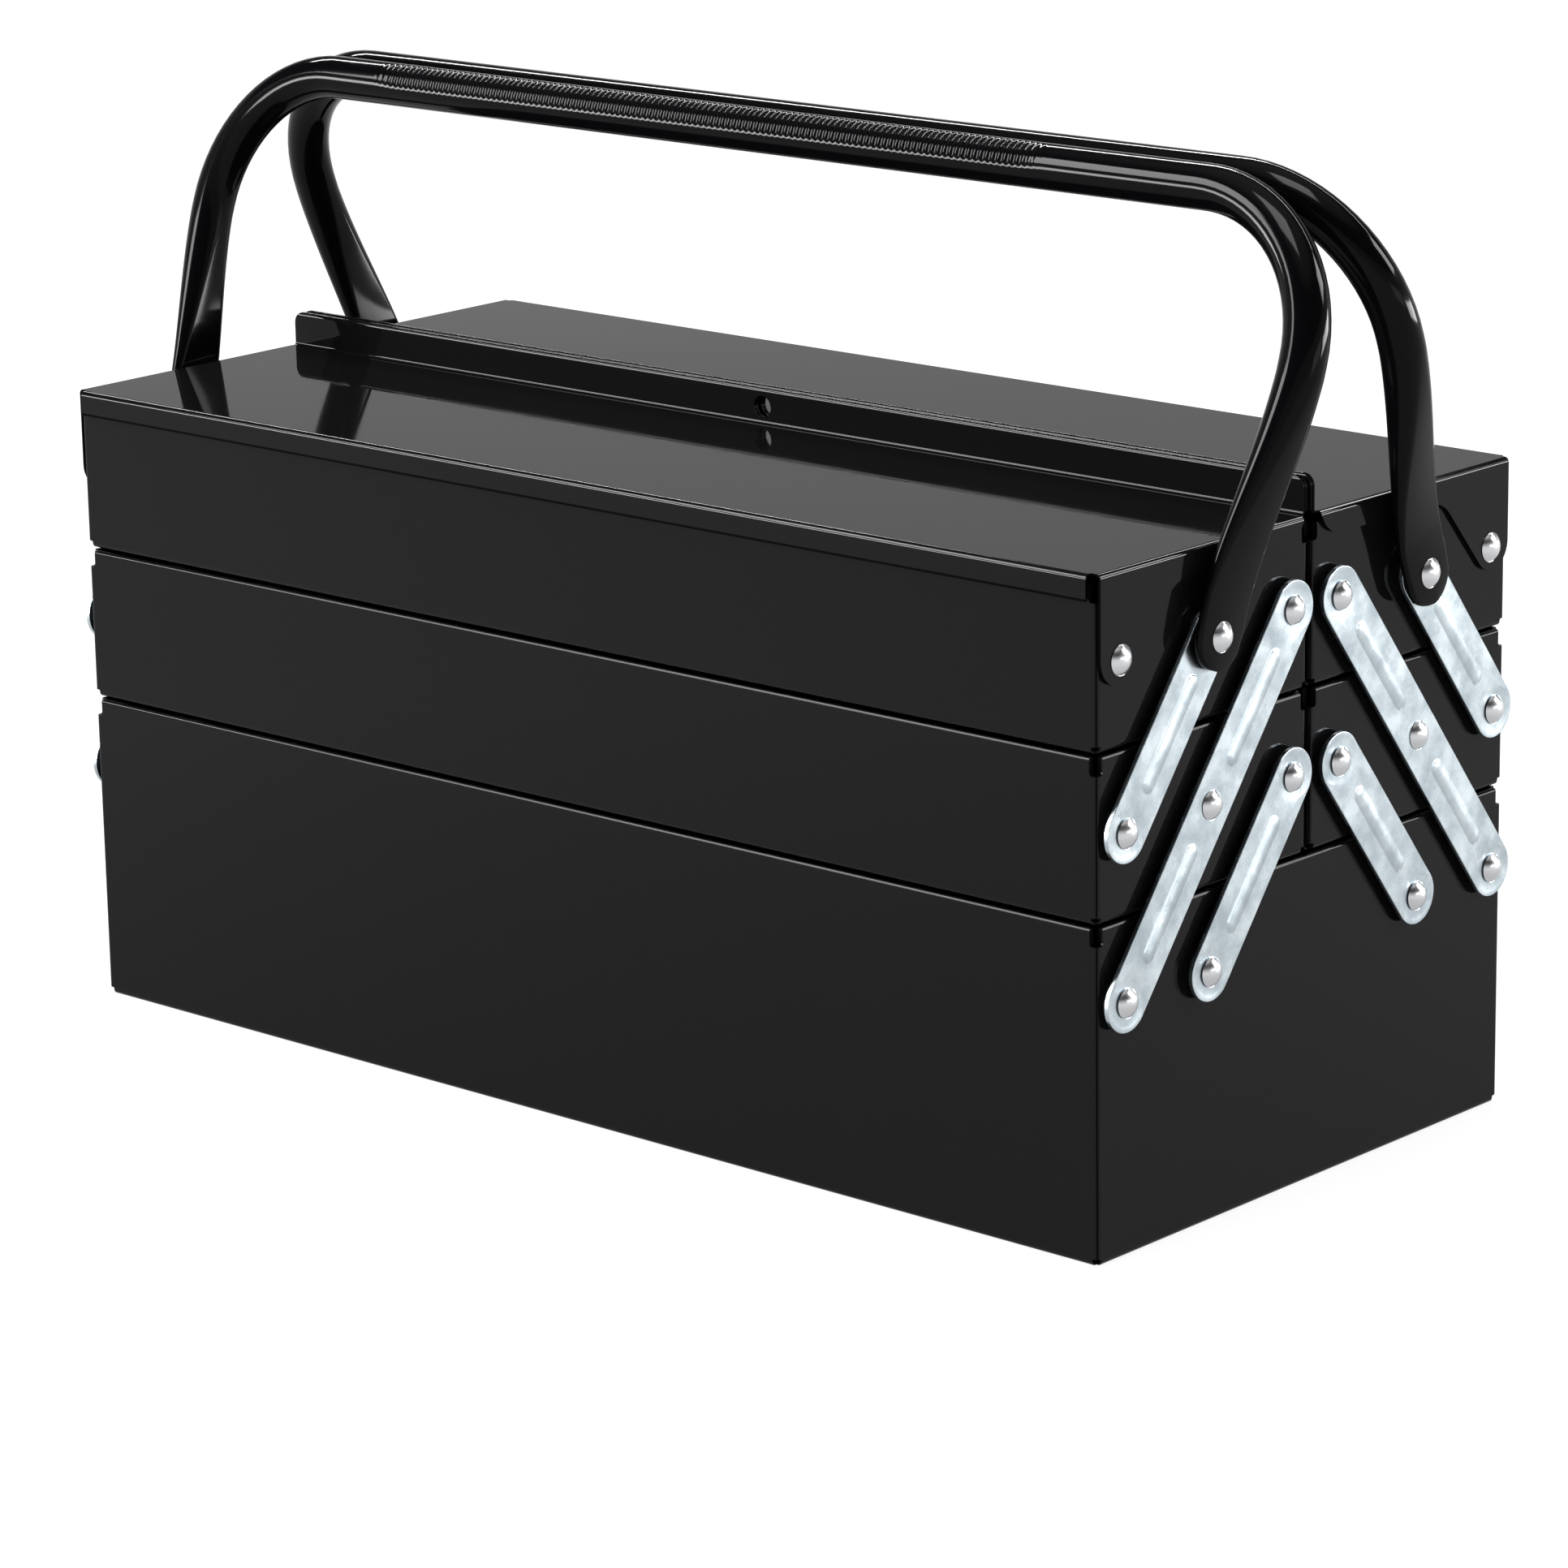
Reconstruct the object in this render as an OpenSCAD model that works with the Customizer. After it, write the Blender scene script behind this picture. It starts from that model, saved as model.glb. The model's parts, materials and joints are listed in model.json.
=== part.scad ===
// Cantilever tool box: a bottom tray, two pairs of half trays that swing out on flat
// links, two hinged lids and two folding tube handles.
// X runs along the box, Y from front to back and Z up. The origin is the bottom centre.

/* [Box] */
// Length of the trays
body_l = 430; // [380:1:520]
// Width of the closed box, front to back
body_w = 200; // [180:1:240]
// Height of the bottom tray
base_h = 103; // [70:1:140]
// Height of each half tray
tray_h = 50; // [40:1:64]
// Air between one tray and the next, one above the other
level_gap = 1; // [0.6:0.1:2]
// Air between the front and the rear half trays
centre_gap = 2; // [1:0.1:4]

/* [Sheet steel] */
// Thickness of the sheet
sheet = 0.8; // [0.6:0.1:1.2]
// Outer radius of every bend
bend_r = 1.6; // [1.3:0.1:2.4]
// Room inside the fold of the hem along each rim
hem_gap = 0.2; // [0:0.1:0.6]
// Depth of the folded hem
hem_h = 8; // [5:0.5:12]
// Width of the open slot at each top corner, along both walls
slot_w = 2.8; // [2:0.1:5]
// Depth of the open slot at each top corner
slot_h = 5.6; // [3:0.1:9]
// Size of the bend relief at each bottom corner
relief = 2.2; // [1.7:0.1:3]

/* [Lids] */
// Air between the lid's front flange and the tray's wall
lid_side_gap = 1.2; // [0.8:0.1:2.5]
// Air between the lid's end flange and the tray's end wall
lid_end_gap = 0.5; // [0.3:0.1:1]
// Spare room as the lid's underside swings past the rim
lid_swing_gap = 0.4; // [0.2:0.1:1.5]
// Depth of the flanges, from the lid's top face
flange_h = 8; // [6:0.5:12]
// Height of the upstand above the lid's top face
upstand_h = 11.5; // [10:0.5:18]
// Room inside the fold of the upstand
upstand_fold = 0.4; // [0:0.1:0.8]
// Air between the two upstands
upstand_gap = 1.6; // [0.8:0.1:3]
// Radius of the upstand's top corners
upstand_r = 4; // [2:0.5:6]
// Radius of the padlock hole
lock_r = 3.6; // [2.5:0.1:4]
// Radius of the ear round the lid's hinge rivet
ear_r = 8.3; // [7:0.1:9]
// Distance from the hinge rivet to the ear's outer edge
ear_reach = 9.1; // [8:0.1:9.4]
// Height of the ear's centre above the hinge rivet
ear_rise = 1; // [0:0.1:1.5]
// Length of the ear's sloping side, measured along the box's width
ear_run = 26; // [18:1:34]

/* [Linkage] */
// Distance from the box's side to the outermost pivots
pivot_inset = 9.6; // [8.5:0.1:13]
// Distance from the box's middle to the innermost pivots
pivot_in = 11.6; // [10.5:0.1:16]
// Distance from each rim down to its row of pivots
pivot_drop = 23.6; // [20:0.1:28]
// Width of the links
link_w = 18; // [15:0.5:19]
// Thickness of the links
link_t = 1.5; // [1.2:0.1:2]
// Length of the pressed bead on each span of a link
bead_l = 38; // [20:1:40]
// Width of the bead
bead_w = 5; // [3:0.5:7]
// Height of the bead
bead_h = 0.7; // [0.4:0.1:0.7]
// Thickness of the spacer behind each link
spacer_t = 2; // [1.6:0.1:3]
// Radius of the spacers and washers
spacer_r = 7; // [6:0.5:8]
// Thickness of the washer under each handle end
washer_t = 0.6; // [0.4:0.1:1]

/* [Rivets] */
// Radius of a rivet's shank
shank_r = 2.5; // [2:0.1:3]
// Radius of a rivet's head
head_r = 4.6; // [4:0.1:5]
// Height of the domed head
head_h = 2.4; // [1.8:0.1:2.4]
// Radius of the closed end inside the tray
tail_r = 3.6; // [3.3:0.1:4.5]
// Height of the closed end inside the tray
tail_h = 1; // [0.6:0.1:1.5]
// Running clearance between a shank and the hole that turns on it
run_gap = 0.06; // [0.03:0.01:0.1]
// Side clearance between stacked pieces on a rivet
stack_gap = 0.1; // [0.1:0.05:0.2]

/* [Handles] */
// Radius of the handle tube
tube_r = 7.1; // [6:0.1:8]
// Distance from the handle's pivot to the middle of the grip
handle_l = 129; // [118:1:140]
// Radius of the tube's two bends, to the middle of the tube
handle_bend = 47; // [30:1:52]
// Thickness of the flattened tube end
plate_t = 2.8; // [2.4:0.1:3.2]
// Width of the flattened tube end
plate_w = 22; // [20:0.5:23]
// Air between the two grips when they stand together
grip_gap = 1.7; // [1:0.1:4]

/* [Hidden] */

$fn = 48;
facets = 32;      // sides of the sections that a blended handle leg is drawn between
cut = 1;          // how far a cutting body runs past the face it opens
slice = 0.1;      // thickness of the sections of a blended leg
ledge = 0.05;     // the blended leg ends this far inside the round tube's surface

// Levels
level = tray_h + level_gap;
middle_z = base_h + level_gap;
top_z = middle_z + level;
top_rim = top_z + tray_h;

// Half trays
half_w = (body_w - centre_gap) / 2;
half_y = (body_w + centre_gap) / 4;
inner_bend = bend_r - sheet;
hem_t = 2 * sheet + hem_gap;
hem_r = hem_t / 2;

// Pivots: three columns and three rows on each end of the box
pivot_out = body_w / 2 - pivot_inset;
pivot_mid = (pivot_in + pivot_out) / 2;
pivot_step = pivot_out - pivot_mid;
base_pivot_z = base_h - pivot_drop;
middle_pivot_z = base_pivot_z + level;
top_pivot_z = middle_pivot_z + level;
link_pitch = norm([pivot_step, level]);
link_lean = atan(pivot_step / level);
hole_r = shank_r + run_gap;

// Stack on a rivet, counted outwards from the end wall's outer face
wall_x = body_l / 2;
link_x = spacer_t + stack_gap;
link_top_x = link_x + link_t;
link_head_x = link_top_x + stack_gap;
washer_x = link_top_x + stack_gap;
plate_x = washer_x + washer_t + stack_gap;
plate_head_x = plate_x + plate_t + stack_gap;
lid_head_x = lid_end_gap + sheet + stack_gap;

// Lid
lid_under = top_pivot_z + norm([pivot_inset, pivot_drop]) + lid_swing_gap;
lid_top = lid_under + sheet;
lid_front = body_w / 2 + lid_side_gap + sheet;
lid_end = wall_x + lid_end_gap + sheet;
flange_z = lid_top - flange_h;
upstand_t = 2 * sheet + upstand_fold;
upstand_back = upstand_gap / 2;
upstand_front = upstand_back + upstand_t;
upstand_top = lid_top + upstand_h;
lock_z = lid_top + (upstand_h - upstand_t / 2) / 2;
slope_start = upstand_front + bend_r;
ear_edge = pivot_out + ear_reach;
ear_y = ear_edge - ear_r;
ear_z = top_pivot_z + ear_rise;
ear_top = ear_y - ear_run;

// Handle
grip_y = tube_r + grip_gap / 2;
handle_lean = asin((pivot_mid - grip_y) / handle_l);
plate_run = 9;                             // the flat end stays flat this far past its rivet
waist_run = 26;                            // the leg is an oval here
waist_t = 4;                               // thickness of the oval
waist_w = 20;                              // width of the oval
waist_step = 2.1;                          // the oval's inner face stands this far off the flat end's
tube_step = 3.4;                           // and the round tube's stands this far off it
round_length = 4;                          // straight length of round tube below the bend
tube_in = plate_x + tube_step;
tube_x = wall_x + tube_in + tube_r;
bend_x = tube_x - handle_bend;
bend_z = handle_l - handle_bend;
round_run = bend_z - round_length;

black = "#242424";
zinc = "#c3ccd2";
steel = "#d6d8da";
dark = "#151515";

// ---------------------------------------------------------------- placing

// The children and their copy on the other end of the box
module both_ends() {
    children();
    mirror([1, 0, 0]) children();
}

// The children on the left end of the box
module left() {
    mirror([1, 0, 0]) children();
}

// The children on the rear half of the box
module rear() {
    mirror([0, 1, 0]) children();
}

// Extrudes a drawing of Y and Z along X, with its middle at the origin
module along_x(length) {
    rotate([90, 0, 90]) translate([0, 0, -length / 2]) linear_extrude(length) children();
}

// Extrudes a drawing of X and Z along Y, with its middle at the origin
module along_y(length) {
    rotate([90, 0, 0]) translate([0, 0, -length / 2]) linear_extrude(length) children();
}

// A cylinder along X between two places counted outwards from the end wall
module peg(r, from, to) {
    translate([wall_x + from, 0, 0]) rotate([0, 90, 0]) cylinder(r = r, h = to - from);
}

// ---------------------------------------------------------------- trays

// Section of a tray: upright walls and rounded bottom edges
module pan_section(w, h, r) {
    translate([-w / 2, r]) square([w, h - r]);
    translate([r - w / 2, 0]) square([w - 2 * r, h - r]);
    for (side = [-1, 1]) translate([side * (w / 2 - r), r]) circle(r);
}

// A block with the tray's outline seen from the front and from the end
module pan_block(l, w, h, r) {
    intersection() {
        along_x(l) pan_section(w, h, r);
        along_y(w) pan_section(l, h, r);
    }
}

// One rolled hem along X, with its outer face at Y = 0 and its crown at Z = 0
module hem(length) {
    along_x(length) {
        translate([0, -hem_h]) square([hem_t, hem_h - hem_r]);
        translate([hem_r, -hem_r]) circle(hem_r);
    }
}

// Hems on all four rims of a tray
module hems(w, h) {
    translate([0, 0, h]) {
        for (side = [0, 180]) rotate([0, 0, side]) {
            translate([0, -w / 2, 0]) hem(body_l - 2 * slot_w);
            rotate([0, 0, 90]) translate([0, -wall_x, 0]) hem(w - 2 * slot_w);
        }
    }
}

// Slots at the top corners and bend reliefs at the bottom corners
module corner_cuts(w, h) {
    for (x = [-1, 1], y = [-1, 1]) translate([x * wall_x, y * w / 2, 0]) {
        translate([-slot_w, -slot_w, h - slot_h]) cube([2 * slot_w, 2 * slot_w, slot_h + cut]);
        translate([-relief, -relief, -cut]) cube([2 * relief, 2 * relief, relief + cut]);
    }
}

// A tray of the full length with its underside at Z = 0
module sheet_tray(w, h) {
    difference() {
        union() {
            difference() {
                pan_block(body_l, w, h - hem_r, bend_r);
                translate([0, 0, sheet])
                    pan_block(body_l - 2 * sheet, w - 2 * sheet, h, inner_bend);
            }
            hems(w, h);
        }
        corner_cuts(w, h);
    }
}

// Shank holes through both end walls
module shank_holes(columns, z) {
    both_ends() for (y = columns) translate([0, y, z]) peg(hole_r, -hem_t - cut, cut);
}

module base_tray() {
    color(black) difference() {
        sheet_tray(body_w, base_h);
        shank_holes([-pivot_out, -pivot_mid, pivot_mid, pivot_out], base_pivot_z);
    }
}

module middle_tray() {
    color(black) difference() {
        translate([0, -half_y, middle_z]) sheet_tray(half_w, tray_h);
        shank_holes([-pivot_out, -pivot_mid, -pivot_in], middle_pivot_z);
    }
}

module top_tray() {
    color(black) difference() {
        translate([0, -half_y, top_z]) sheet_tray(half_w, tray_h);
        shank_holes([-pivot_out, -pivot_mid, -pivot_in], top_pivot_z);
    }
}

module front_middle_tray() { middle_tray(); }
module rear_middle_tray() { rear() middle_tray(); }
module front_top_tray() { top_tray(); }
module rear_top_tray() { rear() top_tray(); }

// ---------------------------------------------------------------- rivets

// Half the section of a rivet: its radius across, the outward distance up
module rivet_section(head_x) {
    dome_r = (head_r * head_r + head_h * head_h) / (2 * head_h);
    translate([0, -sheet - tail_h]) square([tail_r, tail_h]);
    translate([0, -sheet - tail_h]) square([shank_r, head_x + sheet + tail_h + head_h / 4]);
    intersection() {
        translate([0, head_x + head_h - dome_r]) circle(dome_r);
        translate([0, head_x]) square([head_r + cut, head_h + cut]);
    }
}

// A rivet through an end wall, with its head this far outside the wall
module rivet(head_x) {
    translate([wall_x, 0, 0]) rotate([0, 90, 0]) rotate_extrude() rivet_section(head_x);
}

module rivets(columns, z, head_x) {
    color(steel) both_ends() for (y = columns) translate([0, y, z]) rivet(head_x);
}

module base_rivets() {
    rivets([-pivot_out, -pivot_mid, pivot_mid, pivot_out], base_pivot_z, link_head_x);
}

module middle_rivets() {
    rivets([-pivot_out, -pivot_mid, -pivot_in], middle_pivot_z, link_head_x);
}

module front_middle_rivets() { middle_rivets(); }
module rear_middle_rivets() { rear() middle_rivets(); }
module front_top_rivets() { rivets([-pivot_in], top_pivot_z, link_head_x); }
module rear_top_rivets() { rivets([pivot_in], top_pivot_z, link_head_x); }
module front_handle_rivets() { rivets([-pivot_mid], top_pivot_z, plate_head_x); }
module rear_handle_rivets() { rivets([pivot_mid], top_pivot_z, plate_head_x); }
module front_lid_rivets() { rivets([-pivot_out], top_pivot_z, lid_head_x); }
module rear_lid_rivets() { rivets([pivot_out], top_pivot_z, lid_head_x); }

// ---------------------------------------------------------------- spacers and washers

// A ring round a shank
module ring(from, thickness) {
    difference() {
        peg(spacer_r, from, from + thickness);
        peg(hole_r, from - cut, from + thickness + cut);
    }
}

module spacers(columns, z) {
    color(dark) both_ends() for (y = columns) translate([0, y, z]) ring(0, spacer_t);
}

module base_spacers() {
    spacers([-pivot_out, -pivot_mid, pivot_mid, pivot_out], base_pivot_z);
}

module front_middle_spacers() {
    spacers([-pivot_out, -pivot_mid, -pivot_in], middle_pivot_z);
}

module rear_middle_spacers() { rear() front_middle_spacers(); }
module front_top_spacers() { spacers([-pivot_mid, -pivot_in], top_pivot_z); }
module rear_top_spacers() { rear() front_top_spacers(); }

module front_handle_washers() {
    color(dark) both_ends() translate([0, -pivot_mid, top_pivot_z]) ring(washer_x, washer_t);
}

module rear_handle_washers() { rear() front_handle_washers(); }

// ---------------------------------------------------------------- links

// A raised bead with round ends, along Z, with its middle at the origin
module bead() {
    round_r = (bead_w * bead_w / 4 + bead_h * bead_h) / (2 * bead_h);
    reach = bead_l / 2 - bead_w / 2;
    intersection() {
        translate([link_top_x + bead_h - round_r, 0, 0]) {
            translate([0, 0, -reach]) cylinder(r = round_r, h = 2 * reach);
            for (z = [-reach, reach]) translate([0, 0, z]) sphere(round_r);
        }
        translate([link_x + link_t / 2, -bead_w, -bead_l])
            cube([link_t + bead_h, 2 * bead_w, 2 * bead_l]);
    }
}

// A flat link with this many spans, from its lowest rivet inwards and upwards
module link(spans) {
    color(zinc) rotate([-link_lean, 0, 0]) difference() {
        union() {
            translate([wall_x + link_x + link_t / 2, 0, 0]) along_x(link_t) {
                translate([-link_w / 2, 0]) square([link_w, spans * link_pitch]);
                circle(link_w / 2);
                translate([0, spans * link_pitch]) circle(link_w / 2);
            }
            for (i = [0 : spans - 1]) translate([wall_x, 0, (i + 0.5) * link_pitch]) bead();
        }
        for (i = [0 : spans]) translate([0, 0, i * link_pitch])
            peg(hole_r, link_x - cut, link_top_x + cut);
    }
}

module long_link() { translate([0, -pivot_out, base_pivot_z]) link(2); }
module lower_link() { translate([0, -pivot_mid, base_pivot_z]) link(1); }
module upper_link() { translate([0, -pivot_out, middle_pivot_z]) link(1); }

module front_long_link_right() { long_link(); }
module front_long_link_left() { left() long_link(); }
module front_lower_link_right() { lower_link(); }
module front_lower_link_left() { left() lower_link(); }
module front_upper_link_right() { upper_link(); }
module front_upper_link_left() { left() upper_link(); }
module rear_long_link_right() { rear() long_link(); }
module rear_long_link_left() { rear() left() long_link(); }
module rear_lower_link_right() { rear() lower_link(); }
module rear_lower_link_left() { rear() left() lower_link(); }
module rear_upper_link_right() { rear() upper_link(); }
module rear_upper_link_left() { rear() left() upper_link(); }

// ---------------------------------------------------------------- lids

// A quarter of a bent sheet, from +X to +Y, round the drawing's origin
module sheet_bend(r) {
    intersection() {
        difference() {
            circle(r);
            circle(r - sheet);
        }
        square(r);
    }
}

// Front flange, top panel and upstand of the front lid, drawn in Y and Z
module lid_section() {
    top_run = lid_front - bend_r - upstand_front - inner_bend;
    upstand_run = upstand_h - inner_bend - upstand_t / 2;
    translate([bend_r - lid_front, lid_top - bend_r]) {
        mirror([1, 0]) sheet_bend(bend_r);
        translate([-bend_r, bend_r - flange_h]) square([sheet, flange_h - bend_r]);
        translate([0, inner_bend]) square([top_run, sheet]);
        translate([top_run, bend_r + inner_bend]) {
            mirror([0, 1]) sheet_bend(bend_r);
            translate([inner_bend, 0]) square([upstand_t, upstand_run]);
            translate([inner_bend + upstand_t / 2, upstand_run]) circle(upstand_t / 2);
        }
    }
}

// End flange, cut to its outline later, and top edge of the lid, drawn in X and Z
module lid_end_section() {
    translate([lid_end - bend_r, lid_top - bend_r]) {
        sheet_bend(bend_r);
        translate([inner_bend, -tray_h]) square([sheet, tray_h]);
        translate([-bend_r, inner_bend]) square([bend_r, sheet]);
    }
}

// Outline of the end flange with the ear round the hinge rivet, drawn in Y and Z
module ear_outline() {
    to_top = [ear_y - ear_top, flange_z - ear_z];
    touch = atan2(to_top[1], to_top[0]) - acos(ear_r / norm(to_top));
    polygon([
        [-ear_edge, lid_top + cut],
        [-ear_edge, ear_z],
        [-ear_y, ear_z],
        [ear_r * cos(touch) - ear_y, ear_z + ear_r * sin(touch)],
        [-ear_top, flange_z],
        [-slope_start - flange_h / 2, flange_z],
        [-slope_start, lid_top - bend_r],
        [-slope_start, lid_top + cut]
    ]);
    translate([-ear_y, ear_z]) circle(ear_r);
}

// Rounds the top corner of the upstand at the right end of the box
module upstand_corner() {
    corner = lid_end - bend_r;
    translate([0, 0, upstand_top - upstand_r]) difference() {
        translate([corner - upstand_r, -lid_front, 0]) cube([2 * upstand_r, lid_front, 2 * upstand_r]);
        translate([corner - upstand_r, -lid_front, 0]) rotate([-90, 0, 0])
            cylinder(r = upstand_r, h = lid_front);
    }
}

module lid() {
    color(black) difference() {
        union() {
            difference() {
                along_x(2 * (lid_end - bend_r)) lid_section();
                both_ends() translate([wall_x + lid_end_gap - slot_w, -lid_front - cut, -cut])
                    cube([slot_w + cut, bend_r + cut, lid_top - bend_r + cut]);
                both_ends() upstand_corner();
            }
            both_ends() intersection() {
                translate([0, -lid_front / 2, 0]) along_y(lid_front) lid_end_section();
                translate([lid_end, 0, 0]) along_x(4 * bend_r) ear_outline();
            }
        }
        both_ends() translate([0, -pivot_out, top_pivot_z]) peg(hole_r, -cut, lid_head_x + cut);
        translate([0, 0, lock_z]) rotate([90, 0, 0]) cylinder(r = lock_r, h = lid_front);
    }
}

module front_lid() { lid(); }
module rear_lid() { rear() lid(); }

// ---------------------------------------------------------------- handles

// A thin oval slice of a leg, its inner face this far outside the end wall
module leg_slice(inner, thickness, width, run) {
    translate([wall_x + inner + thickness / 2, 0, run]) linear_extrude(slice)
        scale([thickness / width, 1]) circle(d = width, $fn = facets);
}

// The flat end's last slice
module plate_slice() {
    translate([wall_x + plate_x, -plate_w / 2, plate_run - slice]) cube([plate_t, plate_w, slice]);
}

// One leg, from the flat end round the rivet to the round tube
module leg() {
    difference() {
        union() {
            translate([wall_x + plate_x + plate_t / 2, 0, 0]) along_x(plate_t) {
                circle(plate_w / 2);
                translate([-plate_w / 2, 0]) square([plate_w, plate_run]);
            }
            hull() {
                plate_slice();
                leg_slice(plate_x + waist_step, waist_t, waist_w, waist_run);
            }
            hull() {
                leg_slice(plate_x + waist_step, waist_t, waist_w, waist_run);
                leg_slice(tube_in + ledge, 2 * (tube_r - ledge), 2 * (tube_r - ledge), round_run);
            }
        }
        peg(hole_r, plate_x - cut, plate_x + plate_t + cut);
    }
    translate([tube_x, 0, round_run]) cylinder(r = tube_r, h = bend_z - round_run);
    translate([bend_x, 0, bend_z]) rotate([90, 0, 0])
        rotate_extrude(angle = 90) translate([handle_bend, 0]) circle(tube_r);
}

module handle() {
    color(black) translate([0, -pivot_mid, top_pivot_z]) rotate([-handle_lean, 0, 0]) {
        both_ends() leg();
        translate([-bend_x, 0, handle_l]) rotate([0, 90, 0]) cylinder(r = tube_r, h = 2 * bend_x);
    }
}

module front_handle() { handle(); }
module rear_handle() { rear() handle(); }

// ---------------------------------------------------------------- nodes

base_tray();
base_rivets();
base_spacers();
front_middle_tray();
front_middle_rivets();
front_middle_spacers();
rear_middle_tray();
rear_middle_rivets();
rear_middle_spacers();
front_top_tray();
front_top_rivets();
front_top_spacers();
rear_top_tray();
rear_top_rivets();
rear_top_spacers();
front_lid();
front_lid_rivets();
rear_lid();
rear_lid_rivets();
front_handle();
front_handle_rivets();
front_handle_washers();
rear_handle();
rear_handle_rivets();
rear_handle_washers();
front_long_link_right();
front_long_link_left();
front_lower_link_right();
front_lower_link_left();
front_upper_link_right();
front_upper_link_left();
rear_long_link_right();
rear_long_link_left();
rear_lower_link_right();
rear_lower_link_left();
rear_upper_link_right();
rear_upper_link_left();
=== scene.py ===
"""Visual model of a black steel cantilever tool box.

The box has a deep bottom tray, two pairs of half trays on flat riveted links, two
hinged lids with a padlock hole, and two folding tube handles. Each shape is drawn
in millimetres on the front right of the box, mirrored to where it belongs, and
turned to metres last. X runs along the box, Y from front to rear and Z up.
"""

import json
import logging
import math
from dataclasses import dataclass
from enum import Enum
from typing import Callable, Iterable, Optional, Sequence, Union

import bmesh
import bpy
from mathutils import Matrix, Vector


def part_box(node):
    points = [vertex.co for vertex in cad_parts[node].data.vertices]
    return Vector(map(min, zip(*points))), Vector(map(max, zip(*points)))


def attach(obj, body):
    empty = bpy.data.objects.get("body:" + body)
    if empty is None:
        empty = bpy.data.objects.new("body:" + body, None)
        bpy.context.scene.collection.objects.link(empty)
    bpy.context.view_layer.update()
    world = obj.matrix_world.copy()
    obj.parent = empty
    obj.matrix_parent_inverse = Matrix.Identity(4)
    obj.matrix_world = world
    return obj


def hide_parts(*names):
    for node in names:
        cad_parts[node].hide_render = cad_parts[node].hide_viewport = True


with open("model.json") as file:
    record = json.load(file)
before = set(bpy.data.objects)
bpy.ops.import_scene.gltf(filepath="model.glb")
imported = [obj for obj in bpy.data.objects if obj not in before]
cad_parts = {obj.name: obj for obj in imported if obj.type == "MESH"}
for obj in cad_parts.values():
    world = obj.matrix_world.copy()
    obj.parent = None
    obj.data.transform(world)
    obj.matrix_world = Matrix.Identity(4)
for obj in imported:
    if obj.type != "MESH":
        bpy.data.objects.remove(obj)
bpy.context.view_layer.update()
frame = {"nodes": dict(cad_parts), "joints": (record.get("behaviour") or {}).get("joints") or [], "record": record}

MM = 0.001                      # one millimetre in metres
TINY = 0.01                     # mm, closer than this two places are the same
NEAR = 0.001                    # mm, closer than this a cut keeps to a vertex that is already there
FLAT = 0.99                     # a face whose normal has this share along a direction lies across it
ROUND_STEPS = 48                # edges round a circle that shows
HOLE_STEPS = 32                 # edges round a rivet hole
SHEET = 0.8                     # mm, thickness of the sheet steel
SHANK_HOLE = 2.56               # mm, radius of every hole that turns on a rivet
SPACER_T = 2.0                  # mm, thickness of the spacers between wall and link
LINK_T = 1.5                    # mm, thickness of the links
STACK_GAP = 0.1                 # mm, air on either side of a turning piece
WASHER_T = 0.6                  # mm, thickness of the washers between link and handle
PLATE_T = 2.8                   # mm, thickness of the handles' pressed ends
LINK_X = SPACER_T + STACK_GAP   # mm, from the end wall to the links' back
WASHER_X = LINK_X + LINK_T + STACK_GAP              # mm, from the end wall to the washers
PLATE_X = WASHER_X + WASHER_T + STACK_GAP           # mm, from the end wall to the handles' pressed ends
log = logging.getLogger("tool_box")


class Part(Enum):
    """A part of the box that repeats, as the factor that mirrors its shape."""

    @property
    def word(self) -> str:
        """Its name as the nodes spell it."""
        return self.name.lower()


class Side(Part):
    """The front or the rear half of the box, as the factor on Y."""

    FRONT = 1
    REAR = -1


class End(Part):
    """The right or the left end of the box, as the factor on X."""

    RIGHT = 1
    LEFT = -1


class Slot(Enum):
    """The record's material slots."""

    TRAY = "tray_enamel"
    HANDLE = "handle_enamel"
    ZINC = "zinc_plate"
    RIVET = "rivet_steel"
    SPACER = "spacer_steel"


# ---------------------------------------------------------------- colours and nodes

def linear(colour: str) -> tuple[float, float, float, float]:
    """Turns an sRGB hex colour to linear.

    Args:
        colour: Colour such as "#c3ccd2".

    Returns:
        Linear red, green and blue, and full opacity.
    """
    parts = [int(colour[i:i + 2], 16) / 255 for i in (1, 3, 5)]
    red, green, blue = (p / 12.92 if p <= 0.04045 else ((p + 0.055) / 1.055) ** 2.4 for p in parts)
    return red, green, blue, 1.0


def add_node(tree: bpy.types.NodeTree, kind: str, settings: Optional[dict] = None,
             links: Optional[dict] = None) -> bpy.types.Node:
    """Adds one shader node with its settings and links.

    Args:
        tree: Node tree that gets the node.
        kind: Blender's name of the node type.
        settings: Values by the name or number of an input, or by the node's own setting.
        links: Output sockets by the name or number of the input they go to.

    Returns:
        The new node.
    """
    node = tree.nodes.new(kind)
    for key, value in (settings or {}).items():
        if isinstance(key, int) or key in node.inputs:
            node.inputs[key].default_value = value
        else:
            setattr(node, key, value)
    for key, socket in (links or {}).items():
        tree.links.new(socket, node.inputs[key])
    return node


def cleared_tree(owner: Union[bpy.types.Material, bpy.types.World]) -> bpy.types.NodeTree:
    """Gives a material or the world an empty node tree."""
    owner.use_nodes = True
    owner.node_tree.nodes.clear()
    return owner.node_tree


def stand(name: str, data: bpy.types.ID) -> bpy.types.Object:
    """Stands a mesh, lamp or camera in the scene as an object."""
    made = bpy.data.objects.new(name, data)
    bpy.context.scene.collection.objects.link(made)
    return made


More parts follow.
